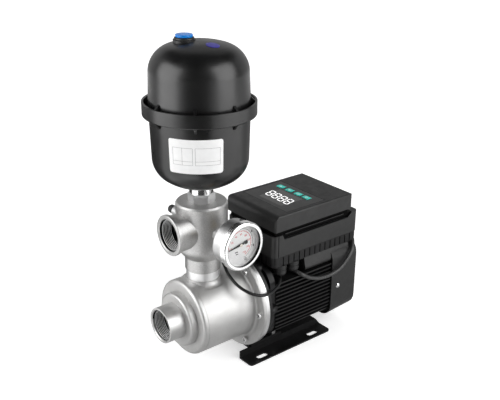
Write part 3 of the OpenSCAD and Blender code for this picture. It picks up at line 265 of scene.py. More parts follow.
class Paint:
    """A node material on Principled, with short calls for the nodes it needs."""

    def __init__(self, name, **values):
        self.material = bpy.data.materials.new(name)
        self.material.use_nodes = True
        self.tree = self.material.node_tree
        self.shader = self.tree.nodes["Principled BSDF"]
        for key, value in values.items():
            self.shader.inputs[key.replace("_", " ")].default_value = value
        self.place = self.tree.nodes.new("ShaderNodeTexCoord").outputs["Object"]

    def node(self, kind, **values):
        made = self.tree.nodes.new(kind)
        for key, value in values.items():
            setattr(made, key, value)
        return made

    def link(self, out, to):
        self.tree.links.new(out, to)

    def math(self, operation, a, b=None):
        made = self.node("ShaderNodeMath", operation=operation)
        for socket, value in zip(made.inputs, (a, b)):
            if isinstance(value, (int, float)):
                socket.default_value = value
            elif value is not None:
                self.link(value, socket)
        return made.outputs[0]

    def vector(self, operation, a, b=None):
        made = self.node("ShaderNodeVectorMath", operation=operation)
        self.link(a, made.inputs[0])
        if b is not None:
            made.inputs[1].default_value = b
        return made.outputs["Value" if operation in ("LENGTH", "DOT_PRODUCT") else "Vector"]

    def noise(self, scale, detail, rough=0.5, where=None):
        made = self.node("ShaderNodeTexNoise")
        made.inputs["Scale"].default_value = scale
        made.inputs["Detail"].default_value = detail
        made.inputs["Roughness"].default_value = rough
        self.link(where or self.place, made.inputs["Vector"])
        return made.outputs["Fac"]

    def spread(self, fac, low, high, start=0.25, end=0.75):
        """A factor from start to end becomes a value from low to high."""
        made = self.node("ShaderNodeMapRange")
        for key, value in (("From Min", start), ("From Max", end), ("To Min", low),
                           ("To Max", high)):
            made.inputs[key].default_value = value
        self.link(fac, made.inputs["Value"])
        return made.outputs[0]

    def ramp(self, fac, low, high, start=0.3, end=0.7):
        """Two colours, and a blend between them from start to end of the factor."""
        made = self.node("ShaderNodeValToRGB")
        ends = zip(made.color_ramp.elements, (start, end), (low, high))
        for element, place, colour in ends:
            element.position = place
            element.color = (*colour, 1)
        self.link(fac, made.inputs["Fac"])
        return made.outputs["Color"]

    def clouds(self, scale, detail, low, high):
        """Two tones mixed by a noise."""
        return self.ramp(self.noise(scale, detail), low, high)

    def colour(self, out):
        self.link(out, self.shader.inputs["Base Color"])

    def sheen(self, scale, detail, low, high):
        """Roughness that drifts between two values."""
        out = self.spread(self.noise(scale, detail), low, high)
        self.link(out, self.shader.inputs["Roughness"])

    def bump(self, height, depth, strength):
        """depth is in millimetres. A second bump adds to the first."""
        made = self.node("ShaderNodeBump")
        made.inputs["Distance"].default_value = depth * MM
        made.inputs["Strength"].default_value = strength
        self.link(height, made.inputs["Height"])
        normal = self.shader.inputs["Normal"]
        if normal.is_linked:
            self.link(normal.links[0].from_socket, made.inputs["Normal"])
        self.link(made.outputs["Normal"], normal)

    def grain(self, scale, detail, depth, strength, rough=0.5):
        """Bump of a noise, its depth in millimetres."""
        self.bump(self.noise(scale, detail, rough), depth, strength)

    def reach_from(self, origin, axis):
        """Distance from the line through the origin along the axis."""
        offset = self.vector("SUBTRACT", self.place, origin)
        return self.vector("LENGTH", self.vector("CROSS_PRODUCT", offset, axis))

    def along(self, axis, origin=(0, 0, 0)):
        """How far along the axis, from the origin."""
        return self.vector("DOT_PRODUCT", self.vector("SUBTRACT", self.place, origin), axis)

    def inside_port(self, axis_z, x_limit):
        """1 inside a port that opens towards -X, 0 outside it: the mask of the painted shade in
        the port.
        """
        near = self.math("LESS_THAN", self.reach_from((0, 0, axis_z), ALONG), PORT_WALL)
        before = self.math("LESS_THAN", self.along(ALONG), x_limit)
        return self.math("MULTIPLY", near, before)

    def shaded(self, colour, mask, dark):
        """The colour, with painted shade: a dark grey where the mask is 1."""
        mix = self.node("ShaderNodeMix", data_type="RGBA")
        self.link(mask, mix.inputs[MIX_FACTOR])
        self.link(colour, mix.inputs[MIX_A])
        mix.inputs[MIX_B].default_value = (dark, dark, dark, 1)
        return mix.outputs[MIX_RESULT]

    def round_about(self, upright):
        """The way along the riser's axis, or along the pump's, and the distance from it."""
        parts = self.node("ShaderNodeSeparateXYZ")
        self.link(self.place, parts.inputs[0])
        x, y, z = parts.outputs
        if upright:
            along, rise = z, self.math("SUBTRACT", x, RISER_X)
        else:
            along, rise = x, self.math("SUBTRACT", z, AXIS_Z)
        square = self.math("ADD", self.math("MULTIPLY", y, y), self.math("MULTIPLY", rise, rise))
        where = self.node("ShaderNodeCombineXYZ")
        self.link(along, where.inputs[0])
        self.link(self.math("SQRT", square), where.inputs[1])
        return where.outputs[0]


def tone(value, tint=(1, 1, 1)):
    return tuple(value * t for t in tint)


def blasted_steel(name, grain, contrast, rough):
    """Bead-blasted stainless: an even grain, faint clouds, and painted shade inside the discharge
    port.
    """
    p = Paint(name, Metallic=1.0)
    warm = (1, 0.995, 0.985)
    base = p.clouds(34, 3, tone(0.57, warm), tone(0.64, warm))
    speck = p.ramp(p.noise(grain, 2, 0.7), tone(1 - contrast), tone(1), 0.35, 0.65)
    mix = p.node("ShaderNodeMix", data_type="RGBA", blend_type="MULTIPLY")
    mix.inputs[MIX_FACTOR].default_value = 1.0
    p.link(base, mix.inputs[MIX_A])
    p.link(speck, mix.inputs[MIX_B])
    # Painted shade: the steel inside the discharge port is made dark grey
    inside = p.inside_port(PORT_Z, RISER_X + 30 * MM)
    p.colour(p.shaded(mix.outputs[MIX_RESULT], inside, PORT_SHADE))
    p.sheen(60, 4, *rough)
    p.grain(grain, 3, 0.06, 0.6, rough=0.6)
    p.grain(90, 2, 0.2, 0.12)
    return p.material


def turned_steel(name, upright, low, high, rough):
    """Lathe-turned steel: fine rings about its own axis, and painted shade inside the suction
    port.
    """
    p = Paint(name, Metallic=1.0)
    rings = p.noise(2600, 2, 0.7, p.round_about(upright))
    base = p.ramp(rings, tone(low), tone(high))
    # Painted shade: the steel inside the suction port is made dark grey
    p.colour(p.shaded(base, p.inside_port(AXIS_Z, RISER_X), PORT_SHADE))
    p.sheen(45, 3, *rough)
    p.bump(rings, 0.03, 0.55)
    return p.material


def thread_steel(name, axis_z):
    """Cut thread: painted highlight on the crests and painted shade in the roots."""
    p = Paint(name, Metallic=1.0)
    crest, root = 21.2 * MM, 22.2 * MM
    depth = p.spread(p.reach_from((0, 0, axis_z), ALONG), 0.0, 1.0, crest, root)
    # Painted highlight and shade: near white at the crest's radius, near black at the root's
    p.colour(p.ramp(depth, tone(0.95), tone(0.005), 0.08, 0.2))
    p.sheen(200, 2, 0.5, 0.6)
    p.grain(900, 2, 0.01, 0.2)
    return p.material


def gauge_metal(name, shade_within, dark, low, high, rough):
    """Plated gauge part, with painted shade where it looks in at the dial."""
    p = Paint(name, Metallic=1.0)
    near = p.math("LESS_THAN", p.reach_from(on_gauge(0), GAUGE_OUT), shade_within)
    front = p.math("GREATER_THAN", p.along(GAUGE_OUT, on_gauge(0)), GAUGE_FRONT)
    base = p.clouds(120, 3, tone(low), tone(high))
    # Painted shade: one flat grey on the faces that look in at the dial
    p.colour(p.shaded(base, p.math("MULTIPLY", near, front), dark))
    p.sheen(90, 3, *rough)
    p.grain(1100, 2, 0.02, 0.3)
    return p.material


def chrome():
    p = Paint("chrome_plate", Metallic=1.0)
    p.colour(p.clouds(30, 2, tone(0.80), tone(0.84, (0.99, 1, 1))))
    p.sheen(70, 3, 0.05, 0.11)
    p.grain(260, 2, 0.02, 0.2)
    return p.material


def bolt_steel():
    p = Paint("bolt_steel", Metallic=1.0)
    p.colour(p.clouds(180, 3, tone(0.80), tone(0.90)))
    p.sheen(300, 3, 0.16, 0.28)
    p.grain(1400, 2, 0.03, 0.4)
    return p.material


def black_paint():
    """Satin black enamel with a light orange peel."""
    p = Paint("black_paint", Specular_IOR_Level=0.28)
    p.colour(p.clouds(45, 3, tone(0.005), tone(0.008, (1, 1, 1.05))))
    p.sheen(90, 3, 0.34, 0.46)
    p.grain(700, 2, 0.06, 0.35)
    return p.material


def black_housing(name, neck=False):
    """Moulded black plastic with a fine even texture. With a neck, it is the drive housing's, and
    has painted shade on the neck under the lid and in the long recess: near black, little shine."""
    p = Paint(name, Specular_IOR_Level=0.45)
    base = p.clouds(50, 3, tone(0.010), tone(0.014))
    if neck:
        high = p.along(UP)
        on_neck = p.math("GREATER_THAN", high, HOUSING_RIM + 0.05 * MM)
        side = p.math("LESS_THAN", p.math("ABSOLUTE", p.along(FRONT)), NECK_SIDE)
        middle = p.along(ALONG, (RECESS_MID, 0, 0))
        in_length = p.math("LESS_THAN", p.math("ABSOLUTE", middle), RECESS_HALF)
        above = p.math("GREATER_THAN", high, HOUSING_RIM - RECESS_DEPTH)
        recess = p.math("MULTIPLY", p.math("MULTIPLY", side, in_length), above)
        neck_shade_mask = p.math("MAXIMUM", on_neck, recess)
        # Painted shade: near black on the neck and in the recess, under the lid's overhang
        base = p.shaded(base, neck_shade_mask, 0.001)
        # The painted shade also turns the reflection down there
        p.link(p.spread(neck_shade_mask, 0.45, 0.04, 0, 1), p.shader.inputs["Specular IOR Level"])
    p.colour(base)
    p.sheen(120, 3, 0.4, 0.52)
    p.grain(1900, 3, 0.05, 0.6, rough=0.65)
    return p.material


def tank_paint():
    """Smooth moulded black of the tank, a little glossier than the drive."""
    p = Paint("tank_paint", Specular_IOR_Level=0.58)
    p.colour(p.clouds(26, 3, tone(0.005), tone(0.008, (1, 1, 1.05))))
    p.sheen(55, 3, 0.27, 0.35)
    p.grain(120, 2, 0.12, 0.08)
    p.grain(1600, 2, 0.02, 0.3)
    return p.material


def keypad_film():
    p = Paint("keypad_film")
    p.colour(p.clouds(60, 3, tone(0.010), tone(0.015)))
    p.sheen(110, 3, 0.3, 0.4)
    p.grain(2300, 2, 0.03, 0.4)
    return p.material


def smoked_window():
    p = Paint("smoked_window", Coat_Weight=0.4, Coat_Roughness=0.06)
    p.colour(p.clouds(50, 2, tone(0.006), tone(0.009, (1, 1, 1.1))))
    p.sheen(90, 2, 0.1, 0.17)
    p.grain(400, 2, 0.01, 0.2)
    return p.material


def lens_glass():
    p = Paint("lens_clear", Alpha=0.05)
    p.colour(p.clouds(40, 2, tone(0.03), tone(0.05)))
    p.sheen(80, 2, 0.02, 0.05)
    p.grain(150, 2, 0.01, 0.1)
    return p.material


def lit_white():
    """The display's figures, which glow."""
    p = Paint("figure_white", Emission_Color=(1, 1, 1, 1), Emission_Strength=0.9)
    p.colour(p.clouds(200, 2, tone(0.86), tone(0.94)))
    p.sheen(300, 2, 0.35, 0.5)
    p.grain(900, 2, 0.01, 0.3)
    return p.material


def plastic(name, low, high, rough, grain=1500):
    p = Paint(name)
    p.colour(p.clouds(130, 3, low, high))
    p.sheen(200, 3, *rough)
    p.grain(grain, 2, 0.03, 0.45)
    return p.material


def metal(name, low, high, rough):
    p = Paint(name, Metallic=1.0)
    p.colour(p.clouds(120, 3, low, high))
    p.sheen(200, 3, *rough)
    p.grain(900, 3, 0.04, 0.5)
    return p.material


def cable_jacket(name, value, specular):
    """Extruded jacket with a soft sheen."""
    p = Paint(name, Specular_IOR_Level=specular)
    p.colour(p.clouds(150, 3, tone(value), tone(value * 1.35)))
    p.sheen(250, 3, 0.34, 0.46)
    p.grain(1100, 2, 0.04, 0.4)
    return p.material


def circuit():
    p = Paint("circuit")
    cells = p.node("ShaderNodeTexVoronoi")
    cells.inputs["Scale"].default_value = 220
    p.link(p.place, cells.inputs["Vector"])
    reach = cells.outputs["Distance"]
    p.colour(p.ramp(reach, (0.015, 0.10, 0.04), (0.03, 0.22, 0.08), 0.1, 0.6))
    p.sheen(200, 3, 0.25, 0.4)
    p.bump(reach, 0.1, 0.3)
    return p.material


MATERIALS = {
    "stainless_blasted": blasted_steel("pressed_steel", grain=900, contrast=0.06,
                                       rough=(0.48, 0.58)),
    "stainless_turned": turned_steel("stainless_turned_x", upright=False, low=0.66, high=0.78,
                                     rough=(0.26, 0.38)),
    "chrome": chrome(),
    "bolt_steel": bolt_steel(),
    "black_paint": black_paint(),
    "black_housing": black_housing("black_housing"),
    "tank_paint": tank_paint(),
    "keypad_film": keypad_film(),
    "window": smoked_window(),
    "key_teal": plastic("key_teal", (0.04, 0.62, 0.52), (0.06, 0.70, 0.60), (0.38, 0.5)),
    "circuit": circuit(),
    "cable_black": cable_jacket("cable_black", value=0.007, specular=0.35),
    "rubber_black": plastic("rubber_black", tone(0.010), tone(0.018), (0.5, 0.65), 1100),
    "ceramic_white": plastic("ceramic_white", (0.76, 0.72, 0.62), (0.84, 0.8, 0.72),
                             (0.15, 0.25)),
    "carbon": plastic("carbon", tone(0.02), tone(0.035), (0.35, 0.5)),
    "core_steel": metal("core_steel", tone(0.22), tone(0.32), (0.4, 0.55)),
    "copper": metal("copper", (0.62, 0.25, 0.10), (0.74, 0.32, 0.14), (0.22, 0.36)),
    "fan_plastic": plastic("fan_plastic", tone(0.02), tone(0.03), (0.42, 0.55)),
    "brass": metal("brass", (0.62, 0.44, 0.17), (0.75, 0.55, 0.24), (0.2, 0.32)),
    "dial_white": plastic("dial_white", tone(0.80), tone(0.86), (0.45, 0.6)),
    "pointer_black": plastic("pointer_black", tone(0.010), tone(0.016), (0.35, 0.5)),
    "lens": lens_glass(),
    "cap_blue": plastic("cap_blue", (0.008, 0.20, 0.72), (0.012, 0.26, 0.80), (0.2, 0.3)),
}
CABLE_GREY = cable_jacket("cable_grey", value=0.028, specular=0.5)
PRINT_BLACK = plastic("print_black", tone(0.010), tone(0.016), (0.45, 0.6))
PRINT_RED = plastic("print_red", (0.55, 0.02, 0.02), (0.65, 0.03, 0.03), (0.45, 0.6))
PRINT_GREY = plastic("print_grey", tone(0.34), tone(0.40), (0.45, 0.6))
PRINT_PALE = plastic("print_pale", (0.60, 0.80, 0.78), (0.68, 0.86, 0.84), (0.4, 0.55))
PRINT_LIT = lit_white()
BORDER_BLACK = plastic("border_black", tone(0.004), tone(0.006), (0.85, 0.95))
LABEL_PAPER = plastic("label_paper", tone(0.86), tone(0.91), (0.42, 0.55), 800)
STICKER_VIOLET = plastic("sticker_violet", (0.028, 0.022, 0.25), (0.04, 0.03, 0.32), (0.3, 0.42))

# CAD nodes whose finish isn't their slot's own
TURNED_UP = turned_steel("stainless_turned_z", upright=True, low=0.80, high=0.92,
                         rough=(0.36, 0.46))
FINISH_OF = {
    # The case's painted shade is a flat grey near its own tone; the bezel's is near black
    "gauge_case": gauge_metal("satin_case", shade_within=30.6 * MM, dark=0.55, low=0.50, high=0.60,
                              rough=(0.36, 0.46)),
    "gauge_bezel": gauge_metal("bezel_rim", shade_within=28.7 * MM, dark=0.012, low=0.84,
                               high=0.90, rough=(0.2, 0.3)),
    "suction_port": blasted_steel("port_steel", grain=900, contrast=0.06, rough=(0.38, 0.48)),
    "five_way_fitting": blasted_steel("cast_steel", grain=620, contrast=0.2, rough=(0.4, 0.52)),
    # Painted shade under the lid
    "drive_housing": black_housing("housing_shell_shaded", neck=True),
    "discharge_nipple": TURNED_UP,
    "tank_nipple": TURNED_UP,
    "pressure_sensor": TURNED_UP,
}
SLOT_OF = {part["node"]: part["material_slot"] for part in record["subparts"]}
for node, piece in frame["nodes"].items():
    for slot in piece.material_slots:
        slot.material = FINISH_OF.get(node, MATERIALS[SLOT_OF[node]])


# Cables: the routes of the CAD tubes, in millimetres
SENSOR_ROUTE = [
    (-19.4, -46, 134.5), (-20, -47.5, 129.5), (-23, -51, 127.5), (-29, -58, 128),
    (-39.5, -65, 124.5), (-60, -72, 123.5), (-77, -72.5, 126), (-91, -64.5, 131.5),
    (-99.5, -49.5, 139), (-101, -30, 148.5), (-93.5, -6, 157), (-91.5, 12, 162),
    (-90.5, 30, 173), (-90.5, 46, 188), (-92.5, 60, 205.5), (-97.5, 69, 217),
    (-103.5, 72, 221.3), (-110.5, 72, 221.5)]
MOTOR_ROUTE = [
    (5, -46, 134.5), (6.5, -48.5, 129.5), (9, -56, 127.5), (12.5, -61.5, 125),
    (20, -63, 120), (30, -64, 115), (47, -64.7, 110), (67, -64.7, 109),
    (86, -64.7, 113), (101.5, -64.3, 124), (112.5, -62.5, 134.5), (119, -58, 141.5),
    (124, -53, 145), (126, -50.5, 147.3)]


def make_cable(name, node, route, diameter, material):
    line = curve_points([Vector(p) * MM for p in route], count=8)
    piece = tube(name, line, diameter / 2)
    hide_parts(node)
    settle(piece, "frame", "cable_black", material)


make_cable("sensor_lead", "sensor_cable", SENSOR_ROUTE, 0.0045, MATERIALS["cable_black"])
make_cable("motor_lead", "motor_cable", MOTOR_ROUTE, 0.006, CABLE_GREY)

# Threads inside the two ports: G 1 1/2
PITCH = 2.309 * MM
ROOT_R = 22.42 * MM
CREST_R = 21.1 * MM
THREAD_L = 19.2 * MM
SUCTION_MOUTH = -0.1972
DISCHARGE_MOUTH = -0.1789


def thread(name, mouth_x, axis_z):
    """A closed helical ridge on the port's wall, running in from its mouth."""
    per_turn = 40
    run_out = per_turn * 0.6
    foot, crown = PITCH * 0.46, PITCH * 0.14
    profile = [(-foot, ROOT_R), (-crown, CREST_R), (crown, CREST_R), (foot, ROOT_R)]
    n = len(profile)
    count = int(THREAD_L / PITCH * per_turn)
    verts = []
    for i in range(count + 1):
        a = 2 * math.pi * i / per_turn
        rise = max(min(1.0, i / run_out, (count - i) / run_out), 0.02)
        for along, radius in profile:
            r = ROOT_R + (radius - ROOT_R) * rise
            x = mouth_x + foot + PITCH * i / per_turn + along
            verts.append((x, r * math.cos(a), axis_z + r * math.sin(a)))
    faces = []
    for first in range(0, count * n, n):
        for j in range(n):
            k = (j + 1) % n
            faces.append((first + j, first + k, first + n + k, first + n + j))
    faces.append(tuple(reversed(range(n))))
    faces.append(tuple(range(count * n, count * n + n)))
    settle(new_piece(name, verts, faces), "frame", "stainless_turned",
           thread_steel(name + "_steel", axis_z))


thread("suction_thread", SUCTION_MOUTH, AXIS_Z)
thread("discharge_thread", DISCHARGE_MOUTH, PORT_Z)


# Seven-segment figures, for the display and, small, for the gauge's numbers
SEGMENTS = {
    "0": "abcdef", "1": "bc", "2": "abged", "3": "abgcd", "4": "fgbc",
    "5": "afgcd", "6": "afgedc", "7": "abc", "8": "abcdefg", "9": "abcdfg"}


def segment(a, b, width, gap):
    """One pointed segment between two corners of a figure."""
    size = math.hypot(b[0] - a[0], b[1] - a[1])
    dx, dy = (b[0] - a[0]) / size, (b[1] - a[1]) / size
    half, full = width / 2, gap + width / 2

    def at(end, inward, aside):
        return end[0] + dx * inward - dy * aside, end[1] + dy * inward + dx * aside

    return [at(a, gap, 0), at(a, full, -half), at(b, -full, -half),
            at(b, -gap, 0), at(b, -full, half), at(a, full, half)]


def figure(digit, height, width, stroke, lean=0.0, gap=0.0):
    """Outlines of one figure whose lower left corner is at zero."""
    left, right = stroke / 2, width - stroke / 2
    low, mid, high = stroke / 2, height / 2, height - stroke / 2
    corners = {
        "a": ((left, high), (right, high)), "b": ((right, mid), (right, high)),
        "c": ((right, low), (right, mid)), "d": ((left, low), (right, low)),
        "e": ((left, low), (left, mid)), "f": ((left, mid), (left, high)),
        "g": ((left, mid), (right, mid))}
    shapes = [segment(*corners[k], stroke, gap) for k in SEGMENTS[digit]]
    return [[(u + lean * v, v) for u, v in shape] for shape in shapes]


# Gauge face: 0 to 10 in black outside and 0 to 140 in red inside. Angles are in degrees.
DIAL_FACE = 79.5 * MM
BLADE_FACE = 80.6 * MM
HUB_FACE = 82.3 * MM
PRINT_T = 0.05 * MM
SCALE_START = 188.5
BLACK_TURN = 25.75
RED_TURN = 35.5 / 20


def on_dial(distance):
    return on_gauge(distance), GAUGE_RIGHT, UP, GAUGE_OUT


def number(text, angle, radius, height, width, stroke):
    """Figures that stand upright at a place on the dial."""
    gap = stroke * 1.1
    total = len(text) * width + (len(text) - 1) * gap
    u0, v0 = polar(radius, angle)
    u0, v0 = u0 - total / 2, v0 - height / 2
    return [[(u + u0 + i * (width + gap), v + v0) for u, v in shape]
            for i, digit in enumerate(text) for shape in figure(digit, height, width, stroke)]


def make_dial():
    black = arc_band(22.3, 22.7, SCALE_START, SCALE_START - 10 * BLACK_TURN)
    for k in range(51):
        inner = 20.9 if k % 10 == 0 else 21.4 if k % 5 == 0 else 21.9
        angle = SCALE_START - BLACK_TURN * k / 5
        wide = 0.55 if k % 10 == 0 else 0.25
        black.append(bar(polar(inner, angle), polar(22.6, angle), wide))
    for value in range(0, 11, 2):
        black += number(str(value), SCALE_START - BLACK_TURN * value, radius=25.2,
                        height=3.8, width=2.3, stroke=0.8)
    red = arc_band(19.1, 19.7, SCALE_START, SCALE_START - 140 * RED_TURN)
    for value in range(0, 141, 10):
        angle = SCALE_START - RED_TURN * value
        inner = 17.8 if value % 20 == 0 else 18.5
        red.append(bar(polar(inner, angle), polar(19.4, angle), 0.5))
    for value in range(0, 141, 20):
        red += number(str(value), SCALE_START - RED_TURN * value, radius=14.8,
                      height=2.8, width=1.6, stroke=0.55)
    # Two plain bars where a gauge names its units
    units = [bar((-8.5, -9.5), (-3.5, -9.5), 1.5), bar((-7.0, -12.6), (-3.0, -12.6), 1.3)]
    for name, shapes, paint in (("dial_black_print", black, PRINT_BLACK),
                                ("dial_red_print", red, PRINT_RED),
                                ("dial_unit_marks", units, PRINT_BLACK)):
        plate(name, shapes, on_dial(DIAL_FACE), PRINT_T, "frame", "dial_white", paint)


def make_pointer():
    """Blade with a broad tail, in place of the CAD's plain one; it rests at the scale's zero."""
    blade = [[(21, 0.4), (21, -0.4), (0, -1.4), (0, 1.4)],
             [(0, 1.4), (0, -1.4), (-7, -1.2), (-7, 1.2)],
             [(-7, 1.2), (-7, -1.2), (-8.5, -2.4), (-12, -2.8), (-13, 0), (-12, 2.8),
              (-8.5, 2.4)]]
    c, s = polar(1, SCALE_START)
    turned = [[(u * c - v * s, u * s + v * c) for u, v in shape] for shape in blade]
    thick = 0.6 * MM
    piece = plate("pointer_blade", turned, on_dial(BLADE_FACE), thick, "pointer", "pointer_black")
    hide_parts("gauge_pointer")


make_dial()
lathe("pointer_hub_cap", [(0, 0), (2.3, 0), (2.3, 0.5), (1.8, 0.8), (0.9, 0.95), (0, 1.0)],
      on_gauge(HUB_FACE), GAUGE_OUT, 32, "pointer", "brass", MATERIALS["ceramic_white"])
lathe("dial_spacer", [(28.5, 0.05), (30.2, 0.05), (30.2, 3.9), (28.5, 3.9), (28.5, 0.05)],
      on_gauge(DIAL_FACE), GAUGE_OUT, 96, "frame", "dial_white")
make_pointer()

# Valve on the crown: a flat cap on a low boss, lower than the CAD's own
VALVE = Vector((-0.138, 0.0115, 0))
boss = lathe("valve_boss",
             [(0, 470.4), (14.4, 470.4), (14.4, 476.7), (13.9, 477.2), (13.0, 477.4),
              (12.8, 479.3), (12.2, 479.8), (4, 479.8), (4, 482.0), (0, 482.0)],
             VALVE, UP, 64, "frame", "black_housing")
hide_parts("air_valve")
cap = lathe("flat_cap",
            [(0, 482.4), (9.4, 482.4), (9.4, 480.0), (11.0, 480.0), (11.2, 480.3),
             (11.2, 482.8), (10.7, 483.2), (9.6, 483.35), (0, 483.4)],
            VALVE, UP, 64, "cap", "cap_blue")
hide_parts("valve_cap")

# Display and keypad; both read from the suction end
LID_TOP = 0.2284
READ_RIGHT = FRONT
READ_UP = ALONG


def on_film(x=0.0, y=0.0):
    """The plane just under the lid's top, with its zero at a place."""
    return Vector((x, y, LID_TOP - 0.1 * MM)), READ_RIGHT, READ_UP, UP


def make_figures():
    """Four figures, in a row that falls a little to the right, as in the photograph."""
    pitch, fall = 13.9, 0.03
    first_corner = (0.0078, 0.0240)
    shapes = []
    for i in range(4):
        for shape in figure("8", height=18.8, width=10.8, stroke=1.65, lean=-0.17, gap=0.4):
            shapes.append([(u + i * pitch, v - (u + i * pitch) * fall) for u, v in shape])
    plate("display_figures", shapes, on_film(*first_corner), 0.08 * MM, "frame", "window",
          PRINT_LIT)


def panel_border():
    """Dark line round the keypad film, just above it."""
    x0, x1, y = -12.2, 62.1, 49.6
    line = 0.9
    corners = [(-y, x0), (y, x0), (y, x1), (-y, x1)]
    bars = []
    for a, b in zip(corners, corners[1:] + corners[:1]):
        du = ((a[0] < b[0]) - (a[0] > b[0])) * line / 2
        dv = ((a[1] < b[1]) - (a[1] > b[1])) * line / 2
        bars.append(bar((a[0] + du, a[1] + dv), (b[0] + du, b[1] + dv), line))
    plate("panel_border", bars, on_film(), 0.05 * MM, "frame", "keypad_film", BORDER_BLACK)


def recess_rail():
    """Rail in the housing's long recess, which catches the light as a thin line."""
    x0, x1, z0, z1 = -17, 100, 196.6, 197.5
    back = FRONT * 0.0512
    plate("recess_rail", [[(x0, z0), (x1, z0), (x1, z1), (x0, z1)]],
          (back, ALONG, UP, FRONT), 2.2 * MM, "frame", "black_housing")


def key_symbols():
    """A generic mark on each key: up, down, enter and stop; and the printed fields round it."""
    ring_mark = arc_band(1.6, 2.4, 120, 420)
    marks = {
        1: [[(-3.2, -1.6), (3.2, -1.6), (0, 2.2)]],
        2: [[(-3.2, 1.6), (0, -2.2), (3.2, 1.6)]],
        3: [bar((-3.0, 1.2), (3.0, 1.2), 1.0), bar((-3.0, -1.2), (3.0, -1.2), 1.0)],
        4: ring_mark + [bar((0, 0.5), (0, 2.6), 0.8)]}
    # The fields run from row_start to row_end, with a small gap beside the key
    row_start, row_end, gap, inset = 42.0, 51.8, 0.15, 0.6
    fields = []
    for key, shapes in marks.items():
        low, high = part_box(f"button_{key}")
        centre = Vector(((low[0] + high[0]) / 2, (low[1] + high[1]) / 2, high[2]))
        plate(f"key_mark_{key}", shapes, (centre, READ_RIGHT, READ_UP, UP), 0.04 * MM,
              f"key_{key}", "key_teal", PRINT_PALE)
        left, right = -high[1] / MM + inset, -low[1] / MM - inset
        for near, far in ((row_start, low[0] / MM - gap), (high[0] / MM + gap, row_end)):
            fields.append([(left, near), (right, near), (right, far), (left, far)])
    plate("key_fields", fields, on_film(), 0.15 * MM, "frame", "key_teal")


make_figures()
panel_border()
recess_rail()
key_symbols()


# Tank label on the lower shell, whose radius and height are given at its foot and at its seam
SHELL_LOW = (64.8 * MM, 0.3243)
SHELL_SEAM = (66.6 * MM, 0.3903)


def shell_radius(z):
    """Radius of the lower tank shell, which widens a little towards its seam."""
    (low_r, low_z), (seam_r, seam_z) = SHELL_LOW, SHELL_SEAM
    t = min(max((z - low_z) / (seam_z - low_z), 0), 1)
    return low_r + (seam_r - low_r) * t


def over_shell(a, z, lift):
    """Point above the shell. The angle is in radians about the riser, and 0 is +X."""
    r = shell_radius(z) + lift
    return (RISER_X + r * math.cos(a), r * math.sin(a), z)


def tank_label():
    """A thin closed sheet wrapped on the shell, with round corners."""
    a0, a1, z0, z1 = math.radians(-162), math.radians(-99.5), 0.321, 0.366
    corner, lift, thick = 3 * MM, 0.02 * MM, 0.15 * MM
    cols, rows = 31, 14
    mid_r = shell_radius((z0 + z1) / 2)

    def draw_in(z):
        """How far the sheet draws in at this height for its round corners, as an angle."""
        d = min(z - z0, z1 - z)
        if d >= corner:
            return 0.0
        return (corner - math.sqrt(max(corner ** 2 - (corner - d) ** 2, 0))) / mid_r

    ends = [corner * share for share in (0, 0.15, 0.45)]
    heights = [z0 + d for d in ends] + steps(z0 + corner, z1 - corner, rows)
    heights += [z1 - d for d in reversed(ends)]
    verts = []
    for layer in (lift, lift + thick):
        for z in heights:
            turn = steps(a0 + draw_in(z), a1 - draw_in(z), cols)
            verts += [over_shell(a, z, layer) for a in turn]
    wide, tall = cols + 1, len(heights)

    def at(layer, row, col):
        return (layer * tall + row) * wide + col

    faces = []
    for row in range(tall - 1):
        for col in range(cols):
            faces.append((at(1, row, col), at(1, row, col + 1),
                          at(1, row + 1, col + 1), at(1, row + 1, col)))
            faces.append((at(0, row, col), at(0, row + 1, col),
                          at(0, row + 1, col + 1), at(0, row, col + 1)))
        for col in (0, cols):
            faces.append((at(0, row, col), at(1, row, col), at(1, row + 1, col),
                          at(0, row + 1, col)))
    for row in (0, tall - 1):
        for col in range(cols):
            faces.append((at(0, row, col), at(0, row, col + 1), at(1, row, col + 1),
                          at(1, row, col)))
    piece = new_piece("tank_label", verts, faces, smooth=True)
    settle(piece, "frame", "tank_paint", LABEL_PAPER)


def label_rules():
    """Thin ruled boxes on the label, without any lettering, in degrees and millimetres."""
    uprights = (-157, -146, -134, -131, -103)
    levels = (355, 337.5, 332.5)
    wide = 0.2
    lines = [(a - wide, a + wide, levels[-1], levels[0]) for a in uprights]
    for z in levels:
        lines.append((uprights[0], uprights[2], z - wide, z + wide))
        lines.append((uprights[3], uprights[4], z - wide, z + wide))
    verts, faces = [], []
    for a0, a1, z0, z1 in lines:
        cols = max(1, round((a1 - a0) / 2))
        first = len(verts)
        for a in steps(math.radians(a0), math.radians(a1), cols):
            verts += [over_shell(a, z * MM, lift) for z in (z0, z1)
                      for lift in (0.15 * MM, 0.2 * MM)]
        last = first + 4 * cols
        for b in range(first, last, 4):
            for i, k in ((0, 1), (1, 3), (3, 2), (2, 0)):
                faces.append((b + i, b + 4 + i, b + 4 + k, b + k))
        faces += [(first, first + 1, first + 3, first + 2), (last, last + 2, last + 3, last + 1)]
    settle(new_piece("label_rules", verts, faces), "frame", "tank_paint", PRINT_GREY)


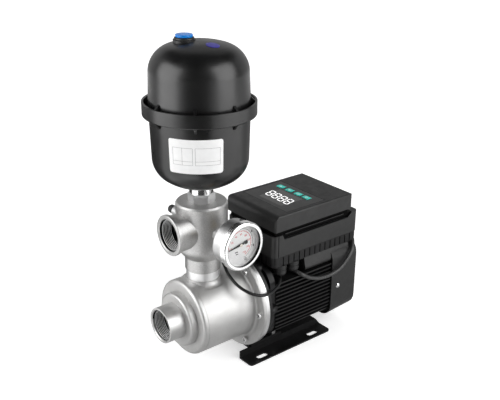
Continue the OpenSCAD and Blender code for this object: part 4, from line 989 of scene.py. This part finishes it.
def dome_sticker():
    """Round plain sticker lying on the dome."""
    crown = 140.0 * MM
    centre = Vector((RISER_X, 0, 476.2 * MM - crown))
    u0, v0, radius = 3 * MM, -26.5 * MM, 8.8 * MM
    rings, sides = 5, 48
    points = [(u0, v0)]
    for k in range(1, rings + 1):
        for j in range(sides):
            u, v = polar(radius * k / rings, 360 * j / sides)
            points.append((u0 + u, v0 + v))
    verts = []
    for lift in (0.03 * MM, 0.18 * MM):
        for u, v in points:
            out = Vector((u, v, math.sqrt(crown ** 2 - u ** 2 - v ** 2))).normalized()
            verts.append(centre + out * (crown + lift))
    n = len(points)
    rim = n - sides
    faces = []
    for j in range(sides):
        k = (j + 1) % sides
        for first in (0, n):
            faces.append((first, first + 1 + j, first + 1 + k))
            for a in range(first + 1, first + rim, sides):
                faces.append((a + j, a + sides + j, a + sides + k, a + k))
        faces.append((rim + j, rim + k, n + rim + k, n + rim + j))
    piece = new_piece("dome_sticker", verts, faces, smooth=True)
    settle(piece, "frame", "tank_paint", STICKER_VIOLET)


tank_label()
label_rules()
dome_sticker()

# Studio. The camera and reflections see a white floor and a white world. Cards that only
# reflections see shape the highlights: dark flags round the scene, bright sectors on the floor
# and a bright card in each lamp's place. Three area lamps light the matt surfaces.
# Azimuth 0 is -Y and 90 is +X, in degrees.
CAMERA_SIDE = -39
FILL = 0.25
FLOOR_R = 6.0
FLOOR_DROP = 0.2 * MM
DARK = 0.06
ROOF_GLOW = 0.02
WALL_R = 2.3
WALL_H = 1.9
BACK_GLOW = 0.52
FLAG_R = 1.7
BEHIND_GLOW = 0.3
NEAR_R = 0.72
NEAR_GLOW = 0.50
FLOOR_SHINE = 1.4
RISER_SHINE = 2.0
# Height from one card on the floor to the next; a reflection sees the upper one
LAYER = 0.1 * MM
LAMP_AIM = Vector((-0.04, 0, 0.24))


def seen_or_reflected(tree):
    """1 for camera, glossy and transmission rays, else 0."""
    path = tree.nodes.new("ShaderNodeLightPath")
    value = path.outputs["Is Camera Ray"]
    for name in ("Is Glossy Ray", "Is Transmission Ray"):
        larger = tree.nodes.new("ShaderNodeMath")
        larger.operation = "MAXIMUM"
        tree.links.new(value, larger.inputs[0])
        tree.links.new(path.outputs[name], larger.inputs[1])
        value = larger.outputs[0]
    return value


def pick_by_ray(tree, plain, seen):
    """The shader seen by camera and reflections, and the plain one for all other light."""
    mix = tree.nodes.new("ShaderNodeMixShader")
    tree.links.new(seen_or_reflected(tree), mix.inputs["Fac"])
    tree.links.new(plain.outputs[0], mix.inputs[1])
    tree.links.new(seen.outputs[0], mix.inputs[2])
    return mix.outputs[0]


def make_world():
    world = bpy.data.worlds.new("studio")
    scene.world = world
    world.use_nodes = True
    tree = world.node_tree
    tree.nodes.clear()
    shades = []
    for strength in (FILL, 1.0):
        shade = tree.nodes.new("ShaderNodeBackground")
        shade.inputs["Color"].default_value = (1, 1, 1, 1)
        shade.inputs["Strength"].default_value = strength
        shades.append(shade)
    out = tree.nodes.new("ShaderNodeOutputWorld")
    tree.links.new(pick_by_ray(tree, *shades), out.inputs["Surface"])


def glow_node(tree, strength):
    made = tree.nodes.new("ShaderNodeEmission")
    made.inputs["Strength"].default_value = strength
    return made


def make_floor():
    """White floor that keeps the shadow: its glow is weaker near the object."""
    sides = 96
    verts = [(0, 0, -FLOOR_DROP)]
    verts += [(*polar(FLOOR_R, 360 * j / sides), -FLOOR_DROP) for j in range(sides)]
    floor = new_piece("floor", verts, [(0, 1 + j, 1 + (j + 1) % sides) for j in range(sides)])
    p = Paint("floor_white", Roughness=0.9, Base_Color=(0.85, 0.85, 0.85, 1))
    glow = glow_node(p.tree, 1.0)
    reach = p.vector("LENGTH", p.place)
    p.link(p.spread(reach, 0.5, 1.0, 0.3, 1.3), glow.inputs["Strength"])
    add = p.node("ShaderNodeAddShader")
    p.link(p.shader.outputs[0], add.inputs[0])
    p.link(pick_by_ray(p.tree, glow_node(p.tree, 0.0), glow), add.inputs[1])
    p.link(add.outputs[0], p.tree.nodes["Material Output"].inputs["Surface"])
    dress(floor, p.material)


def card(name, verts, faces, strength):
    """A card or flag of the studio: only reflections see it."""
    made = new_piece(name, verts, faces)
    material = bpy.data.materials.new(name)
    material.use_nodes = True
    tree = material.node_tree
    tree.nodes.remove(tree.nodes["Principled BSDF"])
    glow = glow_node(tree, strength)
    tree.links.new(glow.outputs[0], tree.nodes["Material Output"].inputs["Surface"])
    dress(made, material)
    made.visible_camera = False
    made.visible_diffuse = False
    made.visible_shadow = False
    made.visible_transmission = False


def strip(name, inner, outer, strength):
    """Card between two rows of points."""
    n = len(inner)
    card(name, inner + outer, [(k, k + 1, n + k + 1, n + k) for k in range(n - 1)], strength)


def wall(name, start, end, strength):
    turn = steps(start, end, int((end - start) / 8))
    strip(name, [compass(a, WALL_R, 0.0) for a in turn],
          [compass(a, WALL_R, WALL_H) for a in turn], strength)


def round_card(name, radius, z, strength):
    rim = [compass(a, radius, z) for a in range(0, 360, 12)]
    card(name, rim, [tuple(range(len(rim)))], strength)


def fan_card(name, start, end, layer, strength, count=8):
    """Sector of the floor, from its centre out."""
    z = layer * LAYER
    rim = [compass(a, FLAG_R, z) for a in steps(start, end, count)]
    card(name, [(0, 0, z)] + rim, [(0, k, k + 1) for k in range(1, count + 1)], strength)


def floor_card(name, start, end, near, far, layer, strength, count=8):
    """Sector of the floor between two distances."""
    turn = steps(start, end, count)
    strip(name, [compass(a, near, layer * LAYER) for a in turn],
          [compass(a, far, layer * LAYER) for a in turn], strength)


def make_cards():
    side, back = CAMERA_SIDE + 110, CAMERA_SIDE + 250
    wall("flag_front", CAMERA_SIDE - 110, side, DARK)
    wall("flag_back", side, back, BACK_GLOW)
    round_card("flag_roof", WALL_R - 0.02, WALL_H, ROOF_GLOW)
    floor_card("flag_floor", CAMERA_SIDE - 32, CAMERA_SIDE + 22, near=0.42, far=2.25, layer=5,
               strength=DARK, count=12)
    floor_card("floor_left", -128, -84, near=0.32, far=1.15, layer=6, strength=FLOOR_SHINE)
    floor_card("floor_right", -8, 38, near=0.32, far=1.15, layer=6, strength=FLOOR_SHINE)
    floor_card("floor_riser", -84, -50, near=0.38, far=0.72, layer=6, strength=RISER_SHINE)
    fan_card("floor_dark", -200, -128, layer=9, strength=DARK)
    fan_card("flag_behind", side, back, layer=2, strength=BEHIND_GLOW, count=14)
    round_card("flag_near", NEAR_R, 4 * LAYER, NEAR_GLOW)


def softbox(name, azimuth, elevation, distance, width, height, power, shine):
    """A lamp for matt surfaces, and a card in its place that reflections see."""
    e = math.radians(elevation)
    place = LAMP_AIM + Vector(compass(azimuth, math.cos(e), math.sin(e))) * distance
    look = (LAMP_AIM - place).normalized()
    data = bpy.data.lights.new(name, "AREA")
    data.shape = "RECTANGLE"
    data.size, data.size_y = width, height
    data.energy = power
    lamp = bpy.data.objects.new(name, data)
    lamp.location = place
    lamp.rotation_euler = look.to_track_quat("-Z", "Y").to_euler()
    lamp.visible_glossy = False
    lamp.visible_camera = False
    scene.collection.objects.link(lamp)
    side = look.cross(UP).normalized() * width / 2
    rise = side.cross(look).normalized() * height / 2
    corners = [place - side - rise, place + side - rise, place + side + rise, place - side + rise]
    card(name + "_shine", corners, [(0, 1, 2, 3)], shine)


make_world()
make_floor()
make_cards()
softbox("left_box", azimuth=-106, elevation=18, distance=1.0, width=0.9, height=1.0,
        power=7.5, shine=3.7)
softbox("right_box", azimuth=22, elevation=24, distance=1.0, width=0.85, height=1.1,
        power=9, shine=3.6)
softbox("back_box", azimuth=141, elevation=62, distance=1.7, width=1.3, height=1.3,
        power=6, shine=0.3)
scene.view_settings.view_transform = "Standard"
